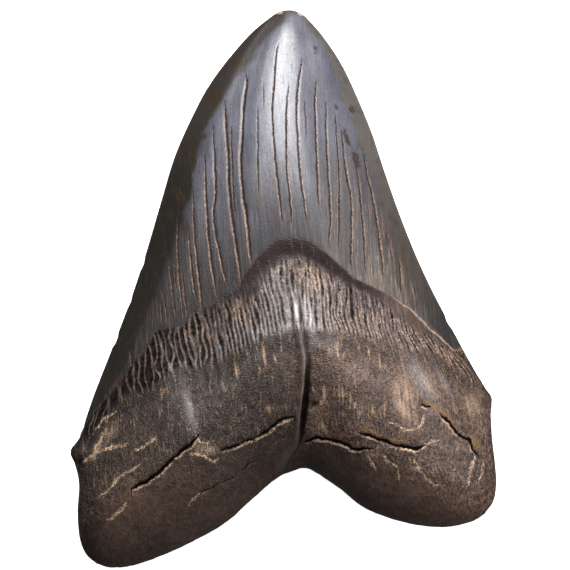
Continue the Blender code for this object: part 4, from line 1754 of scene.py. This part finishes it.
@dataclass(frozen=True)
class RootFinish:
    """The dark root: granular, wrinkled under a smooth band, cracked and worn."""

    root_dark: Colour = (0.037, 0.0222, 0.0168)
    root_brown: Colour = (0.070, 0.044, 0.033)
    # Painted shade for the wrinkles' valleys and the pits
    painted_crease_shade: Colour = (0.010, 0.0068, 0.0058)
    band_purple: Colour = (0.024, 0.0130, 0.0165)
    fold_brown: Colour = (0.064, 0.043, 0.038)
    fold_tan: Colour = (0.40, 0.275, 0.205)
    crumb: Colour = (0.56, 0.42, 0.30)
    rust: Colour = (0.155, 0.080, 0.032)
    brim_grey: Colour = (0.060, 0.048, 0.043)
    # A pale painted sheen for the polished places
    painted_sheen: Colour = (0.44, 0.41, 0.42)

    def look(self, paint: ToothPainter) -> Look:
        """Works out the root's look.

        Args:
            paint: The painter of the tooth's material.

        Returns:
            What the root feeds to the shader.
        """
        on = RootPatterns(paint)
        colour = self._flecks(paint, on, self._ground(paint, on))
        pit = paint.rise(on.pits, 0.62, 0.72) * (1 - on.band) * (1 - on.zone)
        pit = pit * paint.fall(on.worn, 0.2, 0.6)
        # Painted shade in the pits
        colour = paint.mix(pit * 0.6, colour, self.painted_crease_shade)
        colour = paint.mix(on.zone * 0.92, colour, self._wrinkles(paint, on))
        colour = self._band(paint, on, colour)
        tan = paint.rise(on.grain * 0.6 + on.pits * 0.4, 0.48, 0.60)
        tan = paint.mix(tan, FLECK_TAN, self.crumb)
        colour = paint.mix(self._veins(paint, on) * 0.9, colour, tan)
        colour = self._rust_and_border(paint, on, colour)
        gap, lip = self._fissures(paint, on)
        colour = paint.mix(lip * 0.9, colour, tan)
        colour = paint.mix(on.brim * 0.8, colour, self.brim_grey)
        # Painted sheen: the polished places are painted paler
        painted_sheen = on.polish * (0.2 + paint.rise(on.grain, 0.3, 0.7) * 0.35)
        colour = paint.mix(painted_sheen, colour, self.painted_sheen)

        smooth = (on.band * 0.7 + on.brim * 0.9).least(1.0)
        rough = (on.texture - 0.5) * 0.5 + (on.grain - 0.5) * 0.3 + (on.coarse - 0.5) * 0.25
        rough = rough * (1 - smooth) * (1 - on.zone * 0.5) * (1 - on.lobes * 0.7)
        shine = on.polish * (0.3 + on.grain * 0.6)
        valley = on.zone * paint.rise(on.fold, 1.0, 1.55) * (0.96 + on.left * 0.04 - on.knots * 0.5)
        # How much painted deep shade lies over the band: most just right of the groove, least at the
        # far right
        shaded = 0.45 + paint.rise(paint.x, 3.0, 14.0) * 0.25 - paint.rise(paint.x, 19.0, 29.0) * 0.36
        # Painted deep shade in the open cracks, the groove, the wrinkles' valleys and the pits, and
        # over the band
        painted_shade = gap + self._channel(paint, on) + valley + on.band * shaded + pit * 0.2
        return Look(
            colour=colour,
            roughness=0.50 + (on.grain - 0.5) * 0.3 - smooth * 0.08,
            gloss=(0.12 + shine * 0.6 + on.brim * 0.3 + on.zone * on.crest * 0.15).least(1.0),
            height=rough + on.crest * on.zone * 0.14 - gap * 0.2 - pit * 0.1,
            painted_shade=painted_shade.least(1.0),
        )

    def _ground(self, paint: ToothPainter, on: RootPatterns) -> Wire:
        """Colours the plain root.

        Args:
            paint: The painter of the tooth's material.
            on: The patterns of the root.

        Returns:
            The colour: two browns, with painted shade that darkens the left, the far left corner and
                the hollow, and painted light that makes the foot paler.
        """
        shown = paint.rise(paint.mottle(0.12, 3) * 0.55 + on.coarse * 0.45, 0.40, 0.62)
        colour = paint.mix(shown * (1 - on.lobes * 0.5), self.root_dark, self.root_brown)
        # Painted light and shade: darker towards the left and at the far left corner, as if lit from
        # the right, paler at the foot, and darker in the hollow under the wrinkles
        foot, corner = paint.fall(paint.y, -56.0, -40.0), paint.fall(paint.x, -50.0, -40.0)
        painted_shading = (1.14 - on.left * 0.52) * (1 + foot * (0.6 + on.left * 0.5)) * (1 - corner * 0.8)
        middle = on.left * paint.rise(paint.y, -48.0, -36.0)
        upper = on.left * paint.rise(paint.y, -38.0, -28.0)
        painted_shading = painted_shading * (1.02 - middle * 0.34 - upper * 0.12) * (1 - paint.value("hollow") * 0.38)
        colour = paint.shade(colour, painted_shading)
        contrast = (1.2 - on.lobes * 0.85) * (1 - paint.rise(on.worn, 0.4, 1.0) * 0.5)
        return paint.shade(colour, 1 + (paint.rise(on.texture, 0.38, 0.62) - 0.5) * contrast * 1.1)

    @staticmethod
    def _flecks(paint: ToothPainter, on: RootPatterns, colour: Wire) -> Wire:
        """Lays the pale grains, the streaks of the worn places and the upright flecks on the root.

        Args:
            paint: The painter of the tooth's material.
            on: The patterns of the root.
            colour: The colour of the plain root.

        Returns:
            The speckled colour.
        """
        glint = paint.rise(on.grain, 0.58, 0.68) * paint.rise(on.coarse, 0.36, 0.6)
        colour = paint.mix(glint * (0.2 + on.worn * 0.5).least(0.7), colour, FLECK_TAN)
        streaky = paint.rise(on.fibre * 0.4 + on.fine * 0.4 + on.grain * 0.2, 0.40, 0.58)
        streaky = paint.rise(on.worn, 0.15, 1.0) * streaky
        colour = paint.mix(streaky * 0.75, colour, WORN_TAN)
        fleck = paint.rise(on.fibre * 0.5 + on.fine * 0.3 + on.grain * 0.2, 0.535, 0.63)
        colour = paint.mix(fleck * (1 - on.lobes) * (1 - on.band) * 0.45, colour, FLECK_TAN)
        ragged = (on.fine - 0.5) * 1.6 + (on.grain - 0.5) * 0.6
        spots = paint.rise(paint.value("fleck") + ragged, 0.3, 0.95)
        return paint.mix(spots * 0.65, colour, FLECK_TAN)

    def _wrinkles(self, paint: ToothPainter, on: RootPatterns) -> Wire:
        """Colours the wrinkled zone.

        Args:
            paint: The painter of the tooth's material.
            on: The patterns of the root.

        Returns:
            The colour: valleys darkened by painted shade, and knotty ridges with painted highlights
                along their tops, paler to the right and where they are worn.
        """
        # Painted highlights in tan along the ridges' tops
        lit = paint.rise(on.beads * 0.4 + on.grain * 0.6, 0.44, 0.60) * paint.fall(on.fold, 0.2, 1.0)
        lit = lit * (0.25 + paint.rise(on.coarse, 0.36, 0.58) * 0.75)
        lit = lit * paint.rise(paint.x, -58.0, -34.0) * (0.5 + paint.rise(paint.x, -4.0, 16.0) * 0.5)
        ridge = paint.mix(lit, self.fold_brown, self.fold_tan)
        ridge = paint.shade(ridge, 0.45 - on.left * 0.24 + on.knots * 0.58)
        sooty = paint.rise(on.beads * 0.5 + on.fine * 0.5, 0.5, 0.62)
        sooty = paint.mix(sooty, self.band_purple, self.fold_tan)
        ridge = paint.mix(paint.value("arch") * 0.7, ridge, sooty)
        golden = paint.rise(on.fibre * 0.4 + on.beads * 0.3 + on.grain * 0.3, 0.44, 0.58)
        golden = paint.rise(on.worn, 0.1, 0.9) * golden
        ridge = paint.mix(golden * 0.7, ridge, FLECK_TAN)
        # Painted shade in the valleys between the crests
        return paint.mix(on.crest, self.painted_crease_shade, ridge)

    def _band(self, paint: ToothPainter, on: RootPatterns, colour: Wire) -> Wire:
        """Lays the smooth dark band under the enamel.

        Args:
            paint: The painter of the tooth's material.
            on: The patterns of the root.
            colour: The colour of the root.

        Returns:
            The colour with the band, which is purple, and brown in one place at the right.
        """
        brown = paint.rise(paint.x, 19.0, 29.0) * paint.fall(paint.x, 34.0, 40.0)
        tint = paint.mix(brown, self.band_purple, self.root_brown)
        colour = paint.mix(on.band * 0.92, colour, tint)
        return paint.mix(on.band * paint.rise(on.fine, 0.56, 0.66) * 0.3, colour, self.fold_tan)

    @staticmethod
    def _veins(paint: ToothPainter, on: RootPatterns) -> Wire:
        """Reads the pale veins.

        Args:
            paint: The painter of the tooth's material.
            on: The patterns of the root.

        Returns:
            How far each place lies in a vein, broken up into crumbs.
        """
        width = paint.value("vein_width")
        vein = paint.fall(abs(paint.value("vein") + on.crumbs * 1.5) - width * 0.5, -0.1, 0.2)
        vein = vein * paint.rise(width, 0.05, 0.25)
        vein = vein * (0.35 + paint.rise(on.grain, 0.44, 0.56) * 0.65)
        return vein * (0.5 + paint.rise(on.coarse, 0.38, 0.54) * 0.5)

    def _rust_and_border(self, paint: ToothPainter, on: RootPatterns, colour: Wire) -> Wire:
        """Lays the rust beside the cracks, and the pale line where the enamel ends at the right.

        Args:
            paint: The painter of the tooth's material.
            on: The patterns of the root.
            colour: The colour of the root.

        Returns:
            The colour with both.
        """
        rust = paint.rise(paint.value("rust") + (on.coarse + on.grain - 1), 0.2, 0.9)
        colour = paint.mix(rust * (0.4 + on.grain * 0.6), colour, self.rust)
        border = paint.fall(abs(paint.above + (on.coarse - 0.5) * 0.6), 0.1, 0.5)
        border = border * paint.rise(paint.x, 24.0, 32.0) * paint.fall(paint.x, 41.0, 44.0)
        border = border * (0.15 + on.grain * 0.6 + paint.rise(paint.x, 20.0, 34.0) * 0.3)
        return paint.mix(border, colour, self.fold_tan)

    @staticmethod
    def _fissures(paint: ToothPainter, on: RootPatterns) -> tuple[Wire, Wire]:
        """Reads the open cracks of the root.

        Args:
            paint: The painter of the tooth's material.
            on: The patterns of the root.

        Returns:
            How far each place lies in a crack, and on the crumbling pale lip beside it.
        """
        offset, width = paint.value("fissure") + on.crumbs * 0.7, paint.value("fissure_width")
        gap = paint.fall(abs(offset) - width * 0.42, -0.06, 0.1) * paint.rise(width, 0.12, 0.3)
        beside = abs(offset - width * 0.5 - 0.3)
        lip = paint.fall(beside + (on.grain - 0.5) * 1.4, -0.05, 0.4)
        lip = lip * paint.rise(width, 0.22, 0.45)
        lip = lip * (0.06 + paint.rise(on.coarse * 0.7 + on.pits * 0.3, 0.45, 0.54) * 0.94)
        return gap, lip

    @staticmethod
    def _channel(paint: ToothPainter, on: RootPatterns) -> Wire:
        """Reads the nutrient groove.

        Args:
            paint: The painter of the tooth's material.
            on: The patterns of the root.

        Returns:
            How dark the groove is at each place.
        """
        groove, half = paint.value("groove") + on.crumbs * 0.4, paint.value("groove_width")
        channel = paint.fall(groove - half, -0.45, 0.4) * paint.rise(groove + half, -0.1, 0.15)
        channel = channel * paint.rise(half, 0.05, 0.2)
        return channel * (0.5 + paint.rise(half, 0.3, 0.7) * 0.42)


@dataclass(frozen=True)
class FossilFinish:
    """The finish of the whole tooth: polished enamel above, dark weathered root below."""

    enamel: EnamelFinish = EnamelFinish()
    root: RootFinish = RootFinish()
    ior: float = 1.37
    coat_roughness: float = 0.345
    coat_ior: float = 1.68
    border_softness: float = 0.15
    border_raggedness: float = 0.7

    def material(self) -> bpy.types.Material:
        """Builds the material.

        Returns:
            One material for the whole piece, which reads the marks kept on its mesh.
        """
        made = bpy.data.materials.new("fossil")
        made.use_nodes = True
        paint = ToothPainter(made)
        for name, value in (
            ("IOR", self.ior), ("Coat Roughness", self.coat_roughness), ("Coat IOR", self.coat_ior),
        ):
            paint.shader.inputs[name].default_value = value
        ragged = (paint.mottle(1.6, 3) - 0.5) * self.border_raggedness
        soft = self.border_softness
        on_enamel = paint.rise(paint.above + ragged, -soft, soft)
        look = self.root.look(paint).towards(self.enamel.look(paint), on_enamel, paint)
        paint.link("Base Color", look.colour)
        paint.link("Roughness", look.roughness)
        paint.link("Coat Weight", look.gloss)
        paint.bump(look.height)
        # Mixes the painted deep shade into the surface
        paint.hollow(look.painted_shade)
        return made


@dataclass(frozen=True)
class FloorFinish:
    """A pale matt floor."""

    colour: Colour = (0.86, 0.86, 0.86)
    mottle_colour: Colour = (0.8, 0.8, 0.8)
    mottle: float = 0.04
    roughness: float = 0.7
    glow: float = 0.96

    def material(self) -> bpy.types.Material:
        """Builds the material.

        Returns:
            A near white that glows a little, with a barely visible mottle.
        """
        made = bpy.data.materials.new("floor")
        made.use_nodes = True
        paint = Painter(made)
        place = paint.add("ShaderNodeTexCoord", output="Object")
        share = paint.noise(place, 9.0) * self.mottle
        paint.link("Base Color", paint.mix(share, self.colour, self.mottle_colour))
        paint.shader.inputs["Roughness"].default_value = self.roughness
        paint.shader.inputs["Emission Color"].default_value = (1, 1, 1, 1)
        paint.shader.inputs["Emission Strength"].default_value = self.glow
        return made


# The studio


@dataclass(frozen=True)
class Softbox:
    """A flat soft light that faces the tooth."""

    name: str
    place: tuple[float, float, float]
    width: float
    height: float
    power: float
    colour: Colour = (1.0, 0.985, 0.985)

    def build(self, aim: Vector) -> None:
        """Makes the light.

        Args:
            aim: The point that it faces.
        """
        light = bpy.data.lights.new(self.name, "AREA")
        light.shape = "RECTANGLE"
        light.size = self.width
        light.size_y = self.height
        light.energy = self.power
        light.color = self.colour
        lamp = bpy.data.objects.new(self.name, light)
        lamp.location = self.place
        lamp.rotation_euler = (aim - lamp.location).to_track_quat("-Z", "Y").to_euler()
        lamp.visible_camera = False
        bpy.context.scene.collection.objects.link(lamp)


@dataclass
class Studio:
    """A pale floor, soft lights, and a camera that looks straight down as the photograph does."""

    floor_size: float = 6.0
    frame_width: float = 0.1425
    frame_centre: tuple[float, float] = (0.0005, 0.00075)
    frame_height: float = 0.007
    lens: float = 200.0
    sensor: float = 36.0
    aim: tuple[float, float, float] = (0.0, 0.0, 0.01)
    ambient: float = 0.10
    ambient_colour: Colour = (0.97, 0.98, 1.0)
    softboxes: tuple[Softbox, ...] = (
        Softbox("key", (0.03, 0.75, 0.67), 1.1, 0.62, 30.5),
        Softbox("fill", (0.95, -0.10, 0.60), 0.7, 0.8, 8.5),
    )

    def build(self) -> None:
        """Makes the floor, the lights, the world and the camera."""
        self._floor()
        for softbox in self.softboxes:
            softbox.build(Vector(self.aim))
        self._world()
        self._camera()

    def _floor(self) -> None:
        """Makes the floor, just under the tooth."""
        sheet = bmesh.new()
        bmesh.ops.create_grid(sheet, x_segments=2, y_segments=2, size=self.floor_size / 2)
        mesh = bpy.data.meshes.new("floor")
        sheet.to_mesh(mesh)
        sheet.free()
        mesh.materials.append(FloorFinish().material())
        floor = bpy.data.objects.new("floor", mesh)
        floor.visible_glossy = False
        floor.visible_diffuse = False
        bpy.context.scene.collection.objects.link(floor)

    def _world(self) -> None:
        """Lights the scene evenly from all round, a little cool."""
        world = bpy.data.worlds.new("studio")
        world.use_nodes = True
        background = world.node_tree.nodes["Background"]
        background.inputs["Color"].default_value = (*self.ambient_colour, 1)
        background.inputs["Strength"].default_value = self.ambient
        bpy.context.scene.world = world
        bpy.context.scene.view_settings.view_transform = "Standard"

    def _camera(self) -> None:
        """Hangs the camera over the tooth, so that the frame is as wide as the photograph's."""
        camera = bpy.data.cameras.new("camera")
        camera.lens = self.lens
        camera.sensor_width = self.sensor
        camera.sensor_fit = "HORIZONTAL"
        distance = self.frame_width * self.lens / self.sensor
        eye = bpy.data.objects.new("camera", camera)
        eye.location = (*self.frame_centre, self.frame_height + distance)
        bpy.context.scene.collection.objects.link(eye)
        bpy.context.scene.camera = eye


def main() -> None:
    """Builds the tooth and the studio."""
    logging.basicConfig(level=logging.INFO, format="%(message)s")
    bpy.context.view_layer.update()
    tooth = Tooth().build()
    log.info("%s: %d vertices", tooth.name, len(tooth.data.vertices))
    Studio().build()
    log.info("studio: floor, lights and camera")


if __name__ == "__main__":
    main()
